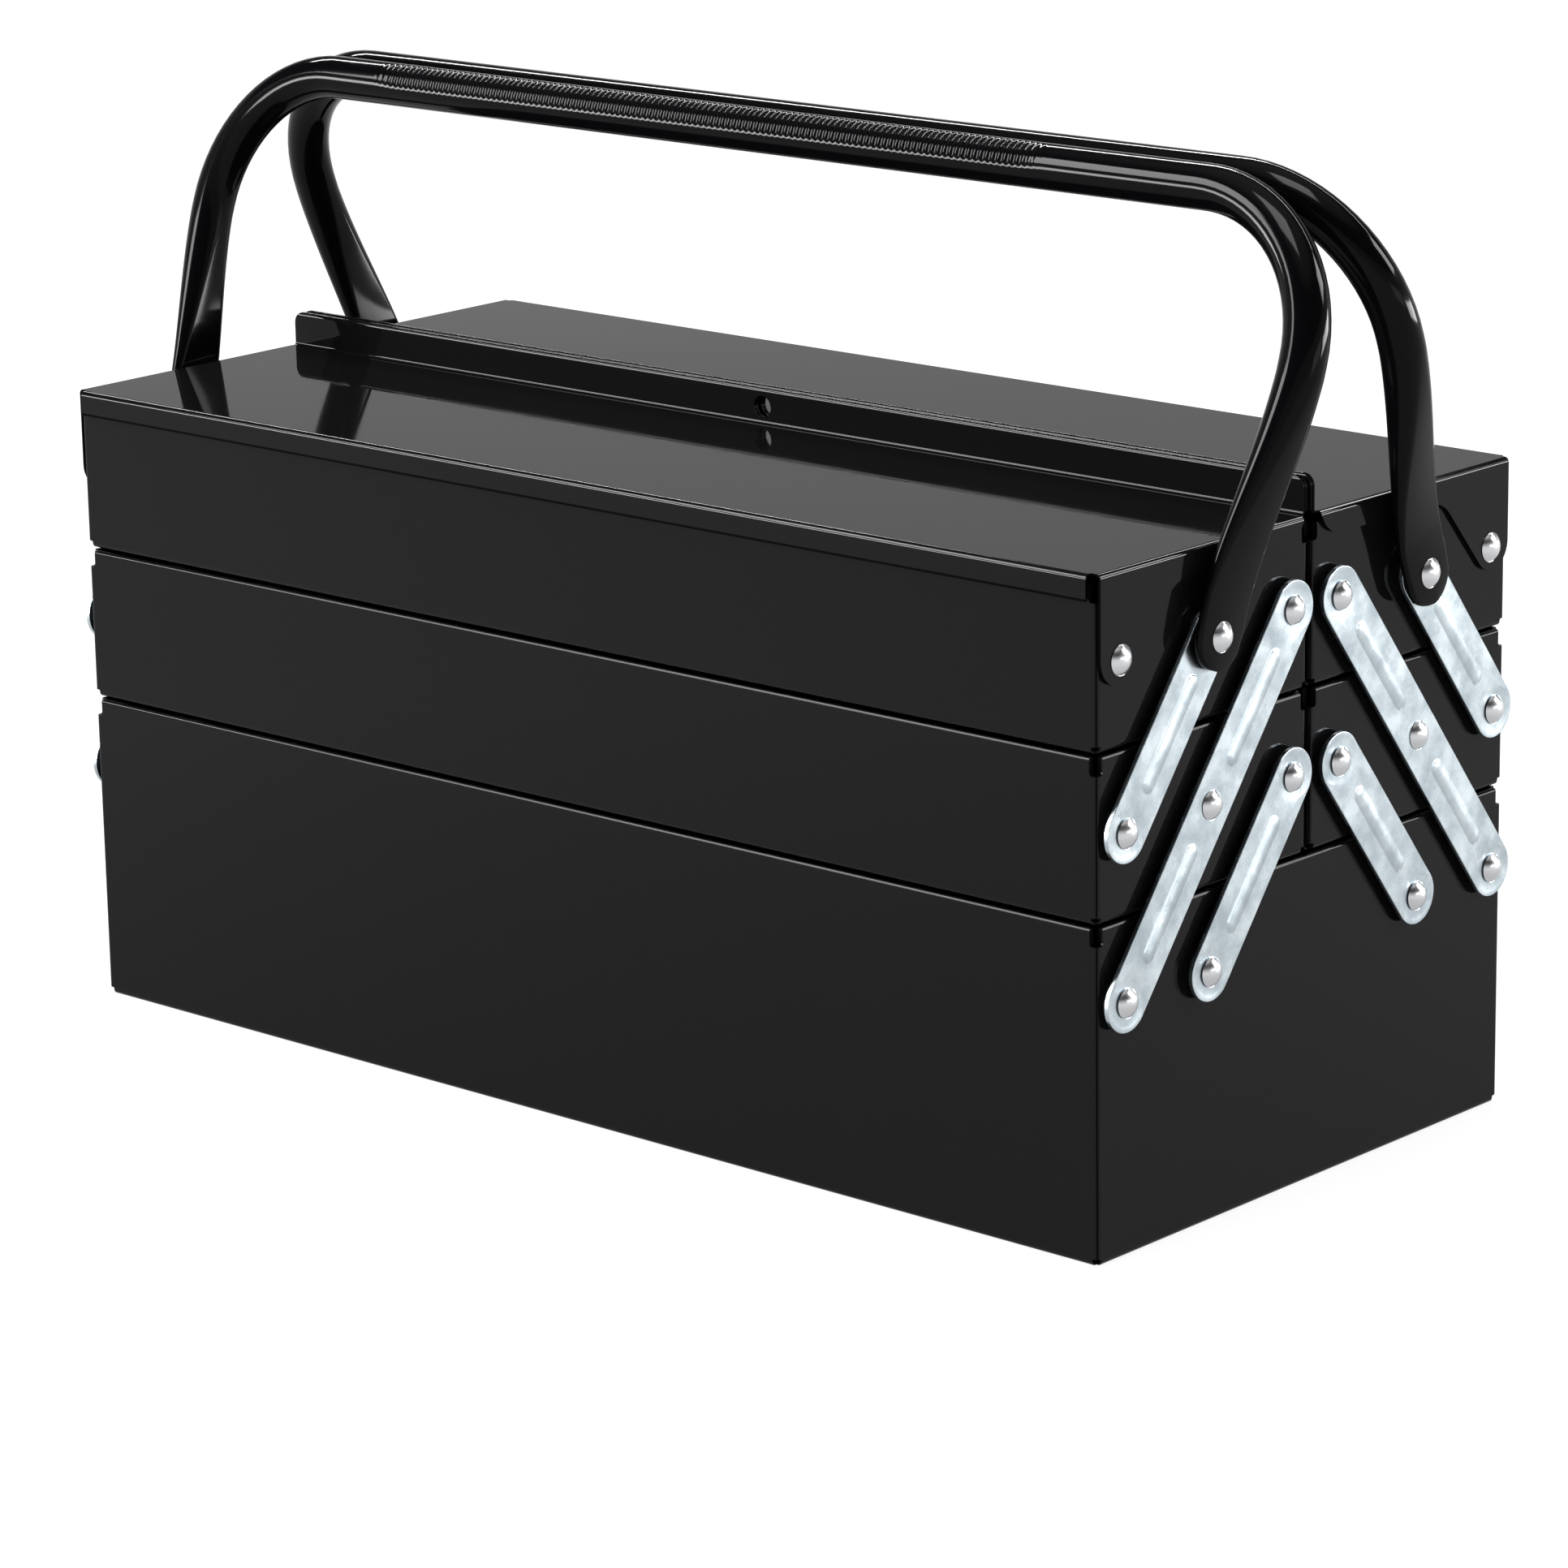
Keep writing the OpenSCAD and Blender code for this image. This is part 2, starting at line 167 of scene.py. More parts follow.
def blank_material(name: str,
                   sockets: dict) -> tuple[bpy.types.Material, bpy.types.Node, bpy.types.NodeSocket]:
    """Starts a material with one shader.

    Args:
        name: Name of the real material.
        sockets: Values for the shader's own sockets.

    Returns:
        The material, its shader and the object coordinates in metres.
    """
    material = bpy.data.materials.new(name)
    tree = cleared_tree(material)
    shader = add_node(tree, "ShaderNodeBsdfPrincipled", sockets)
    add_node(tree, "ShaderNodeOutputMaterial", {}, {"Surface": shader.outputs["BSDF"]})
    place = add_node(tree, "ShaderNodeTexCoord")
    return material, shader, place.outputs["Object"]


def grain_of(size_mm: float, detail: float = 2.0, finer: float = 0.5) -> dict[str, float]:
    """The settings of a cloudy pattern of a real size.

    Args:
        size_mm: Distance between its features.
        detail: Number of finer layers.
        finer: Share of the finer layers.

    Returns:
        Settings for a noise on coordinates in metres.
    """
    return {"Scale": 1 / (size_mm * MM), "Detail": detail, "Roughness": finer}


def span(counted: tuple[float, float], wanted: tuple[float, float]) -> dict[str, float]:
    """The settings that map one range of values to another.

    Args:
        counted: Range that counts.
        wanted: Range that it becomes.

    Returns:
        Settings for a clamped map range.
    """
    return {"From Min": counted[0], "From Max": counted[1], "To Min": wanted[0], "To Max": wanted[1]}


def height_of(height_mm: float) -> dict[str, float]:
    """The settings of a bump of a real height."""
    return {"Strength": 1.0, "Distance": height_mm * MM}


# ---------------------------------------------------------------- finishes

@dataclass(frozen=True)
class GlossEnamel:
    """Stoved gloss enamel on steel: sprayed and baked, so it is a near mirror with a little orange peel.

    The eye sees almost no colour of its own, only soft, slightly wavy images of what stands around it.
    """

    name: str = "stoved_black_enamel"
    colour: str = "#0a0a0b"
    ior: float = 1.22               # low, matched to the film's faint image of a white floor
    roughness: tuple[float, float] = (0.03, 0.07)
    peel_mm: float = 2.2            # orange peel
    peel_height_mm: float = 0.0012
    wave_mm: float = 55.0           # the sheet's own faint waves
    wave_height_mm: float = 0.02
    haze: tuple[float, float, float] = (38.0, 5.0, 0.62)    # patches wiped less well, see grain_of
    haze_counted: tuple[float, float] = (0.35, 0.7)

    def material(self) -> bpy.types.Material:
        """Builds the enamel."""
        sockets = {"Base Color": linear(self.colour), "Metallic": 0.0, "IOR": self.ior}
        material, shader, place = blank_material(self.name, sockets)
        tree = material.node_tree
        haze, waves, peel = (add_node(tree, "ShaderNodeTexNoise", settings, {"Vector": place}).outputs["Fac"]
                             for settings in (grain_of(*self.haze), grain_of(self.wave_mm, detail=1.0),
                                              grain_of(self.peel_mm, detail=1.0)))
        rough = add_node(tree, "ShaderNodeMapRange", span(self.haze_counted, self.roughness), {"Value": haze})
        waved = add_node(tree, "ShaderNodeBump", height_of(self.wave_height_mm), {"Height": waves})
        peeled = add_node(tree, "ShaderNodeBump", height_of(self.peel_height_mm),
                          {"Height": peel, "Normal": waved.outputs["Normal"]})
        tree.links.new(rough.outputs["Result"], shader.inputs["Roughness"])
        tree.links.new(peeled.outputs["Normal"], shader.inputs["Normal"])
        return material


@dataclass(frozen=True)
class ZincPlate:
    """Zinc-plated strip: rolled, blanked and plated in a barrel, so it is dull, bluish and faintly mottled.

    The eye sees a soft satin grey with cloudy patches and a few lighter rubbed places.
    """

    name: str = "zinc_plated_strip"
    colours: tuple[str, str] = ("#b4c0c7", "#cdd7dc")
    cloud: tuple[float, float, float] = (10.0, 4.0, 0.6)    # mottling, see grain_of
    grain_mm: float = 1.2
    grain_share: float = 0.15       # strength of the grain beside the clouds
    tone_counted: tuple[float, float] = (0.4, 0.75)
    cloud_counted: tuple[float, float] = (0.3, 0.7)
    roughness: tuple[float, float] = (0.2, 0.32)
    dent_height_mm: float = 0.006

    def material(self) -> bpy.types.Material:
        """Builds the plating."""
        material, shader, place = blank_material(self.name, {"Metallic": 1.0})
        tree = material.node_tree
        clouds, grain = (add_node(tree, "ShaderNodeTexNoise", settings, {"Vector": place}).outputs["Fac"]
                         for settings in (grain_of(*self.cloud), grain_of(self.grain_mm)))
        both = add_node(tree, "ShaderNodeMath", {"operation": "MULTIPLY_ADD", 1: self.grain_share},
                        {0: grain, 2: clouds}).outputs[0]
        tone = add_node(tree, "ShaderNodeMapRange", span(self.tone_counted, (0.0, 1.0)), {"Value": both})
        tint = add_node(tree, "ShaderNodeMix", {"data_type": "RGBA", 6: linear(self.colours[0]),
                                                7: linear(self.colours[1])}, {0: tone.outputs["Result"]})
        rough = add_node(tree, "ShaderNodeMapRange", span(self.cloud_counted, self.roughness),
                         {"Value": clouds})
        dents = add_node(tree, "ShaderNodeBump", height_of(self.dent_height_mm), {"Height": both})
        tree.links.new(tint.outputs[2], shader.inputs["Base Color"])
        tree.links.new(rough.outputs["Result"], shader.inputs["Roughness"])
        tree.links.new(dents.outputs["Normal"], shader.inputs["Normal"])
        return material


@dataclass(frozen=True)
class BrightSteel:
    """Nickel-bright rivet steel: headed in a polished die, so it mirrors the room with small dents.

    The eye sees a soft white spot, a darker band round it and a bright rim.
    """

    name: str = "bright_headed_steel"
    colour: str = "#d3d4d6"
    roughness: tuple[float, float] = (0.2, 0.27)
    dent_mm: float = 2.4
    dent_counted: tuple[float, float] = (0.35, 0.65)
    dent_height_mm: float = 0.004

    def material(self) -> bpy.types.Material:
        """Builds the bright steel."""
        sockets = {"Metallic": 1.0, "Base Color": linear(self.colour)}
        material, shader, place = blank_material(self.name, sockets)
        tree = material.node_tree
        dents = add_node(tree, "ShaderNodeTexNoise", grain_of(self.dent_mm), {"Vector": place}).outputs["Fac"]
        rough = add_node(tree, "ShaderNodeMapRange", span(self.dent_counted, self.roughness),
                         {"Value": dents})
        bump = add_node(tree, "ShaderNodeBump", height_of(self.dent_height_mm), {"Height": dents})
        tree.links.new(rough.outputs["Result"], shader.inputs["Roughness"])
        tree.links.new(bump.outputs["Normal"], shader.inputs["Normal"])
        return material


@dataclass(frozen=True)
class BlackedSteel:
    """Blacked steel of the spacers and washers: tumbled and oil-blacked, so it is dark and half dull."""

    name: str = "oil_blacked_steel"
    colour: str = "#16171a"
    roughness: float = 0.42
    speck_mm: float = 0.8
    speck_height_mm: float = 0.01

    def material(self) -> bpy.types.Material:
        """Builds the blacked steel."""
        sockets = {"Metallic": 0.0, "Base Color": linear(self.colour), "Roughness": self.roughness}
        material, shader, place = blank_material(self.name, sockets)
        tree = material.node_tree
        specks = add_node(tree, "ShaderNodeTexNoise", grain_of(self.speck_mm), {"Vector": place})
        bump = add_node(tree, "ShaderNodeBump", height_of(self.speck_height_mm),
                        {"Height": specks.outputs["Fac"]})
        tree.links.new(bump.outputs["Normal"], shader.inputs["Normal"])
        return material


Finish = Union[GlossEnamel, ZincPlate, BrightSteel, BlackedSteel]
_made: dict[str, bpy.types.Material] = {}


def material_of(finish: Finish) -> bpy.types.Material:
    """The finish's material, built once."""
    if finish.name not in _made:
        _made[finish.name] = finish.material()
    return _made[finish.name]


TRAY_ENAMEL = GlossEnamel()
# Over a broken edge a lighter, more reflective copy of the enamel: partly the film drawn thin there, partly a
# painted highlight that shows as a faint pale line
EDGE_HIGHLIGHT_ENAMEL = GlossEnamel("enamel_drawn_thin_at_edges", colour="#17181a", ior=1.5, roughness=(0.1, 0.16))
# On the lid's cut edges and on a strip along the front flange's lower edge, a near-black dull copy of the enamel:
# painted shade, the dark line where the flange overhangs the tray wall
PAINTED_SHADE_ENAMEL = GlossEnamel("enamel_drained_to_the_edge", colour="#050505", ior=1.05, roughness=(0.2, 0.3))
# Dipped, so thicker and smoother than the sprayed trays, with no waves of a sheet below it
TUBE_ENAMEL = GlossEnamel("dipped_black_tube_enamel", colour="#040405", ior=1.18, roughness=(0.07, 0.12),
                          wave_mm=30.0, wave_height_mm=0.004, peel_mm=1.8)
FINISHES: dict[Slot, Finish] = {Slot.TRAY: TRAY_ENAMEL, Slot.HANDLE: TUBE_ENAMEL, Slot.ZINC: ZincPlate(),
                                Slot.RIVET: BrightSteel(), Slot.SPACER: BlackedSteel()}


# ---------------------------------------------------------------- the frame's places

def box_mm(node: str) -> tuple[Vector, Vector]:
    """A CAD node's lowest and highest corners in millimetres."""
    low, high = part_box(node)
    return low / MM, high / MM


def pivot_mm(joint: str) -> Vector:
    """A joint's place in millimetres."""
    return Vector(next(j["pos_m"] for j in frame["joints"] if j["name"] == joint)) / MM


@dataclass(frozen=True)
class PivotGrid:
    """The columns and rows of rivets on the front right end of the box, in millimetres."""

    outer: float = pivot_mm("front_fold").y
    middle: float = pivot_mm("front_middle_tray_pivot").y
    inner: float = pivot_mm("front_top_tray_pivot").y
    base_row: float = pivot_mm("front_fold").z
    middle_row: float = pivot_mm("front_middle_tray_pivot").z
    top_row: float = pivot_mm("front_top_tray_pivot").z

    @property
    def pitch(self) -> float:
        """Distance between neighbouring rivets of a link."""
        return math.hypot(self.middle - self.outer, self.middle_row - self.base_row)

    @property
    def lean(self) -> float:
        """Angle by which a link leans from upright."""
        return math.atan2(self.middle - self.outer, self.middle_row - self.base_row)


PIVOTS = PivotGrid()
WALL = box_mm("base_tray")[1].x          # mm, outer face of the end walls


# ---------------------------------------------------------------- mesh tools

Test = Callable[[Vector], bool]
BMesh = bmesh.types.BMesh


def with_bounds(faces: list) -> list:
    """Faces together with their edges and vertices."""
    return faces + list({e for f in faces for e in f.edges}) + list({v for f in faces for v in f.verts})


def edges_of(found: Iterable) -> list[bmesh.types.BMEdge]:
    """The edges among a set of mesh elements."""
    return [g for g in found if isinstance(g, bmesh.types.BMEdge)]


def verts_of(found: Iterable) -> list[bmesh.types.BMVert]:
    """The vertices among a set of mesh elements."""
    return [g for g in found if isinstance(g, bmesh.types.BMVert)]


def edges_where(bm: BMesh, test: Test) -> list[bmesh.types.BMEdge]:
    """The edges both of whose ends pass a test."""
    return [e for e in bm.edges if all(test(v.co) for v in e.verts)]


def faces_where(bm: BMesh, test: Test) -> list[bmesh.types.BMFace]:
    """The faces whose middle passes a test."""
    return [f for f in bm.faces if test(f.calc_center_median())]


def drop_faces(bm: BMesh, test: Test) -> None:
    """Deletes the faces whose middle passes a test."""
    bmesh.ops.delete(bm, geom=faces_where(bm, test), context="FACES")


def slice_at(bm: BMesh, axis: int, places: Iterable[float]) -> None:
    """Cuts edges into a mesh along planes across one axis.

    Args:
        bm: Mesh.
        axis: 0, 1 or 2 for X, Y or Z.
        places: Where the planes stand, in millimetres.
    """
    across = Vector((0, 0, 0))
    across[axis] = 1
    for place in places:
        whole = bm.verts[:] + bm.edges[:] + bm.faces[:]
        bmesh.ops.bisect_plane(bm, geom=whole, dist=NEAR, plane_co=across * place, plane_no=across)


def bend_edges(bm: BMesh, edges: list, centre: Vector, axis: Vector, angle: float, steps: int) -> list:
    """Spins edges round an axis, as a folding machine bends the sheet.

    Args:
        bm: Mesh.
        edges: Edges that are swept.
        centre: A place on the axis.
        axis: Direction of the axis.
        angle: Angle in degrees.
        steps: Number of flats in the bend.

    Returns:
        The edges at the far end of the bend.
    """
    ends = list({v for e in edges for v in e.verts})
    spun = bmesh.ops.spin(bm, geom=ends + edges, cent=centre, axis=axis, dvec=(0, 0, 0),
                          angle=math.radians(angle), steps=steps, use_merge=False, use_duplicate=False)
    return edges_of(spun["geom_last"])


def pull_edges(bm: BMesh, edges: list, by: Vector) -> list:
    """Extrudes edges along a straight line.

    Args:
        bm: Mesh.
        edges: Edges that are extruded.
        by: How far and where to.

    Returns:
        The edges at the far end.
    """
    made = bmesh.ops.extrude_edge_only(bm, edges=edges)["geom"]
    moved = verts_of(made)
    bmesh.ops.translate(bm, vec=by, verts=moved)
    far = set(moved)
    return [e for e in edges_of(made) if e.verts[0] in far and e.verts[1] in far]


def round_off(bm: BMesh, geom: list, radius: float, steps: int, affect: str = "EDGES") -> None:
    """Rounds edges, or the corners of flat faces.

    Args:
        bm: Mesh.
        geom: Edges or vertices.
        radius: Distance from the old edge or corner to where the round starts.
        steps: Number of flats in the round.
        affect: EDGES or VERTICES.
    """
    bmesh.ops.bevel(bm, geom=geom, offset=radius, offset_type="OFFSET", segments=steps, profile=0.5,
                    affect=affect, material=-1)


def fill_flat(bm: BMesh, edges: list, normal: Vector) -> None:
    """Fills the flat space among closed loops of edges."""
    bmesh.ops.triangle_fill(bm, use_beauty=True, use_dissolve=False, edges=edges, normal=normal)


def ring_at(bm: BMesh, centre: Vector, normal: Vector, radius: float, segments: int) -> list:
    """Draws a circle of edges.

    Args:
        bm: Mesh.
        centre: Its middle.
        normal: Direction across it.
        radius: Its radius.
        segments: Number of its edges.

    Returns:
        Its vertices in order.
    """
    turn = normal.to_track_quat("Z", "Y").to_matrix().to_4x4()
    place = Matrix.Translation(centre) @ turn
    return bmesh.ops.create_circle(bm, segments=segments, radius=radius, matrix=place)["verts"]


def edges_between(verts: Iterable) -> list:
    """The edges whose two ends are both among these vertices."""
    chosen = set(verts)
    return [e for e in {e for v in chosen for e in v.link_edges} if e.other_vert(e.verts[0]) in chosen
            and e.verts[0] in chosen]


def punch(bm: BMesh, centre: Vector, normal: Vector, radius: float, half_cell: float) -> None:
    """Punches a round hole in a flat face.

    Args:
        bm: Mesh.
        centre: Middle of the hole, on the face.
        normal: Direction across the face.
        radius: Radius of the hole.
        half_cell: Half the width of the square that is cut round the hole and filled again up to it.
    """
    turn = normal.to_track_quat("Z", "Y").to_matrix()
    for across in (turn.col[0], turn.col[1]):
        for way in (-1, 1):
            flat = [f for f in bm.faces if abs((f.calc_center_median() - centre).dot(normal)) < TINY
                    and abs(f.normal.dot(normal)) > FLAT]
            bmesh.ops.bisect_plane(bm, geom=with_bounds(flat), dist=NEAR,
                                   plane_co=centre + across * half_cell * way, plane_no=across)
    blank = [f for f in bm.faces if (f.calc_center_median() - centre).length < half_cell / 2
             and abs((f.calc_center_median() - centre).dot(normal)) < TINY]
    rim = list({e for f in blank for e in f.edges})
    bmesh.ops.delete(bm, geom=blank, context="FACES_ONLY")
    fill_flat(bm, rim + edges_between(ring_at(bm, centre, normal, radius, ROUND_STEPS)), normal)


def cut_notch(bm: BMesh, corner: Vector, along: Vector, up: Vector, size: tuple[float, float],
              radius: float, steps: int = 5) -> None:
    """Cuts a notch with one round corner out of a flat wall whose edges already run along the notch.

    Args:
        bm: Mesh.
        corner: The notch's inner corner.
        along: Direction of one side of the notch, away from the corner.
        up: Direction of its other side.
        size: Length of the notch along both sides.
        radius: Radius of the round.
        steps: Number of edges in the round.
    """
    across = along.cross(up)
    centre = corner + (along + up) * radius

    def cell() -> list:
        """The wall's faces inside the notch's square outline."""
        found = []
        for face in bm.faces:
            off = face.calc_center_median() - corner
            if abs(off.dot(across)) < TINY and 0 < off.dot(along) < size[0] and 0 < off.dot(up) < size[1]:
                found.append(face)
        return found

    ways = []
    for step in range(steps):
        angle = math.pi / 2 * (step + 0.5) / steps
        ways.append(-along * math.cos(angle) - up * math.sin(angle))
    for way in ways:
        bmesh.ops.bisect_plane(bm, geom=with_bounds(cell()), dist=NEAR, plane_co=centre + way * radius,
                               plane_no=way)
    inside = [f for f in cell() if all((f.calc_center_median() - centre).dot(w) < radius for w in ways)]
    bmesh.ops.delete(bm, geom=inside, context="FACES")


def capsule(bm: BMesh, radius: float, low: float, high: float) -> list:
    """Draws a long round-ended loop of edges in the plane of Y and Z.

    Args:
        bm: Mesh.
        radius: Half its width.
        low: Height of its lower round's middle.
        high: Height of its upper round's middle.

    Returns:
        Its vertices.
    """
    verts = ring_at(bm, Vector((0, 0, 0)), Vector((1, 0, 0)), radius, ROUND_STEPS)
    half_step = Matrix.Rotation(math.pi / ROUND_STEPS, 3, "X")
    bmesh.ops.rotate(bm, cent=(0, 0, 0), matrix=half_step, verts=verts)
    for vert in verts:
        vert.co.z += high if vert.co.z > 0 else low
    return verts


def place(bm: BMesh, side: Side, end: End = End.RIGHT) -> None:
    """Mirrors a shape from the front right of the box to where it belongs.

    Args:
        bm: Mesh.
        side: Front or rear half.
        end: Right or left end.
    """
    bmesh.ops.scale(bm, vec=(end.value, side.value, 1), verts=bm.verts)
    if side.value * end.value < 0:
        bmesh.ops.reverse_faces(bm, faces=bm.faces)


def face_outwards(bm: BMesh, known: Test, outwards: Vector) -> None:
    """Turns all faces the same way, with one known face pointing outwards.

    Args:
        bm: Mesh.
        known: Test for the middle of faces whose direction is known.
        outwards: Direction of those faces.
    """
    bmesh.ops.remove_doubles(bm, verts=bm.verts, dist=TINY / 2)
    bmesh.ops.recalc_face_normals(bm, faces=bm.faces)
    largest = max(faces_where(bm, known), key=lambda f: f.calc_area())
    if largest.normal.dot(outwards) < 0:
        bmesh.ops.reverse_faces(bm, faces=bm.faces)


@dataclass
class Piece:
    """One finished piece: what it is called, what it rides on, and the CAD nodes it stands for."""

    name: str
    body: str
    slot: Slot
    stands_for: tuple[str, ...]
    smooth_angle: float = 50.0      # degrees, sharper edges stay sharp
    edge_break: float = 0.0         # mm, radius by which sheared edges are broken
    edge_angle: float = 40.0        # degrees, edges at least this sharp are broken
    wall: float = 0.0               # mm, thickness given to a shape drawn as one skin
    more: tuple[Finish, ...] = ()   # further finishes, for faces with material index 1 and up
    edge_index: int = -1            # material index of the broken edges, -1 for that of the faces beside them
    rim_index: int = 0              # steps that the cut edges' material index is past that of the faces

    def finish(self, bm: BMesh) -> bpy.types.Object:
        """Makes the mesh a finished object in metres.

        Args:
            bm: Mesh in millimetres, which is used up.

        Returns:
            The object.
        """
        bmesh.ops.scale(bm, vec=(MM, MM, MM), verts=bm.verts)
        for face in bm.faces:
            face.smooth = True
        mesh = bpy.data.meshes.new(self.name)
        bm.to_mesh(mesh)
        bm.free()
        mesh.materials.append(material_of(FINISHES[self.slot]))
        for finish in self.more:
            mesh.materials.append(material_of(finish))
        if not self.edge_break:
            mesh.set_sharp_from_angle(angle=math.radians(self.smooth_angle))
        piece = stand(self.name, mesh)
        if self.wall:
            skin = piece.modifiers.new("sheet", "SOLIDIFY")
            skin.thickness, skin.offset, skin.use_even_offset = self.wall * MM, -1.0, True
            skin.material_offset_rim = self.rim_index
        if self.edge_break:
            broken = piece.modifiers.new("broken edges", "BEVEL")
            broken.width, broken.segments = self.edge_break * MM, 2
            broken.limit_method, broken.angle_limit = "ANGLE", math.radians(self.edge_angle)
            broken.harden_normals = True
            broken.material = self.edge_index
            flats = piece.modifiers.new("flat faces stay flat", "WEIGHTED_NORMAL")
            flats.keep_sharp = True
        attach(piece, self.body)
        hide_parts(*self.stands_for)
        log.info("%s rides on %s, %d faces", self.name, self.body, len(mesh.polygons))
        return piece


# ---------------------------------------------------------------- trays

@dataclass
class Tray:
    """A tray folded from one sheet: four walls with rolled hems, slots and bend reliefs at the corners."""

    node: str
    body: str
    bend: float = 1.6               # mm, outer radius of the bottom bends
    hem_t: float = 1.8              # mm, thickness of the rolled hem
    hem_h: float = 8.0              # mm, depth of the hem
    slot_w: float = 2.8             # mm, width of the slot at each top corner
    slot_h: float = 5.6             # mm, depth of that slot
    relief: float = 2.2             # mm, size of the notch at each bottom corner
    corner: float = 1.2             # mm, radius of the upright corners
    notch_r: float = 1.1            # mm, radius in the corners of slots and reliefs
    edge_break: float = 0.34        # mm
    bend_steps: int = 6
    corner_steps: int = 5
    hem_steps: int = 8

    def build(self) -> bpy.types.Object:
        """Builds the tray's piece."""
        low, high = box_mm(self.node)
        size = high - low
        self.half_x, self.half_y = size.x / 2, size.y / 2
        self.rim = size.z - self.hem_t / 2
        self.shoulder = size.z - self.slot_h
        bm = self.pan(size)
        self.cut_corners(bm)
        self.round_corners(bm)
        for way in (-1, 1):
            self.roll_hem(bm, Vector((0, way, 0)), self.half_y, self.half_x - self.slot_w)
            self.roll_hem(bm, Vector((way, 0, 0)), self.half_x, self.half_y - self.slot_w)
        face_outwards(bm, lambda c: c.z < TINY, Vector((0, 0, -1)))
        bmesh.ops.translate(bm, vec=(0, (low.y + high.y) / 2, low.z), verts=bm.verts)
        # The broken edges take material 1, the enamel with the painted edge highlight
        piece = Piece(self.node + "_sheet", self.body, Slot.TRAY, (self.node,), edge_break=self.edge_break,
                      wall=SHEET, more=(EDGE_HIGHLIGHT_ENAMEL,), edge_index=1)
        return piece.finish(bm)

    def pan(self, size: Vector) -> BMesh:
        """Draws the open box with rounded bottom bends, its underside at Z = 0.

        Args:
            size: Length, width and height of the tray.

        Returns:
            The mesh.
        """
        bm = bmesh.new()
        bmesh.ops.create_cube(bm, size=1.0)
        bmesh.ops.translate(bm, vec=(0, 0, 0.5), verts=bm.verts)
        bmesh.ops.scale(bm, vec=(size.x, size.y, self.rim), verts=bm.verts)
        drop_faces(bm, lambda c: c.z > self.rim - TINY)
        round_off(bm, edges_where(bm, lambda c: c.z < TINY), self.bend, self.bend_steps)
        return bm

    def cut_corners(self, bm: BMesh) -> None:
        """Cuts the slots at the top corners and the reliefs at the bottom corners.

        Args:
            bm: Mesh of the tray.
        """
        cuts = (self.slot_w, self.relief)
        slice_at(bm, 0, [w * (self.half_x - c) for w in (-1, 1) for c in cuts])
        slice_at(bm, 1, [w * (self.half_y - c) for w in (-1, 1) for c in cuts])
        slice_at(bm, 2, [self.shoulder, self.relief])

        for x, y in ((1, 1), (1, -1), (-1, 1), (-1, -1)):
            for reach, height, up, radius in ((self.slot_w, self.shoulder, 1, self.notch_r),
                                              (self.relief, self.relief, -1, self.notch_r / 2)):
                inner_x, inner_y = x * (self.half_x - reach), y * (self.half_y - reach)
                for corner, along in ((Vector((inner_x, y * self.half_y, height)), Vector((x, 0, 0))),
                                      (Vector((x * self.half_x, inner_y, height)), Vector((0, y, 0)))):
                    cut_notch(bm, corner, along, Vector((0, 0, up)), (reach, self.rim), radius)
        drop_faces(bm, lambda c: c.z < self.relief and abs(c.x) > self.half_x - self.relief
                   and abs(c.y) > self.half_y - self.relief and not self.on_wall(c))

    def on_wall(self, c: Vector) -> bool:
        """Whether a place lies on one of the flat walls."""
        return c.z > self.bend and (abs(c.x) > self.half_x - TINY or abs(c.y) > self.half_y - TINY)

    def round_corners(self, bm: BMesh) -> None:
        """Rounds the upright corners and opens the seam in each.

        Args:
            bm: Mesh of the tray.
        """
        def on_corner(c: Vector) -> bool:
            """Whether a place is on an upright corner."""
            return abs(c.x) > self.half_x - TINY and abs(c.y) > self.half_y - TINY

        round_off(bm, edges_where(bm, on_corner), self.corner, self.corner_steps)
        bm.normal_update()
        seam = [f for f in bm.faces
                if abs(f.normal.z) < TINY and abs(abs(f.normal.x) - abs(f.normal.y)) < TINY]
        bmesh.ops.delete(bm, geom=seam, context="FACES")

    def roll_hem(self, bm: BMesh, outwards: Vector, distance: float, reach: float) -> None:
        """Rolls the hem of one rim inwards.

        Args:
            bm: Mesh of the tray.
            outwards: Direction of the wall from the tray's middle.
            distance: Distance of the wall from the tray's middle.
            reach: Half the length of the rim that carries a hem.
        """
        along = outwards.cross(Vector((0, 0, 1)))
        rim = edges_where(bm, lambda c: abs(c.z - self.rim) < TINY and abs(c.dot(outwards) - distance) < TINY
                          and abs(c.dot(along)) < reach + TINY)
        crown = self.hem_t / 2
        centre = outwards * (distance - crown) + Vector((0, 0, self.rim))
        last = bend_edges(bm, rim, centre, along, 180, self.hem_steps)
        pull_edges(bm, last, Vector((0, 0, crown - self.hem_h)))


# ---------------------------------------------------------------- lids

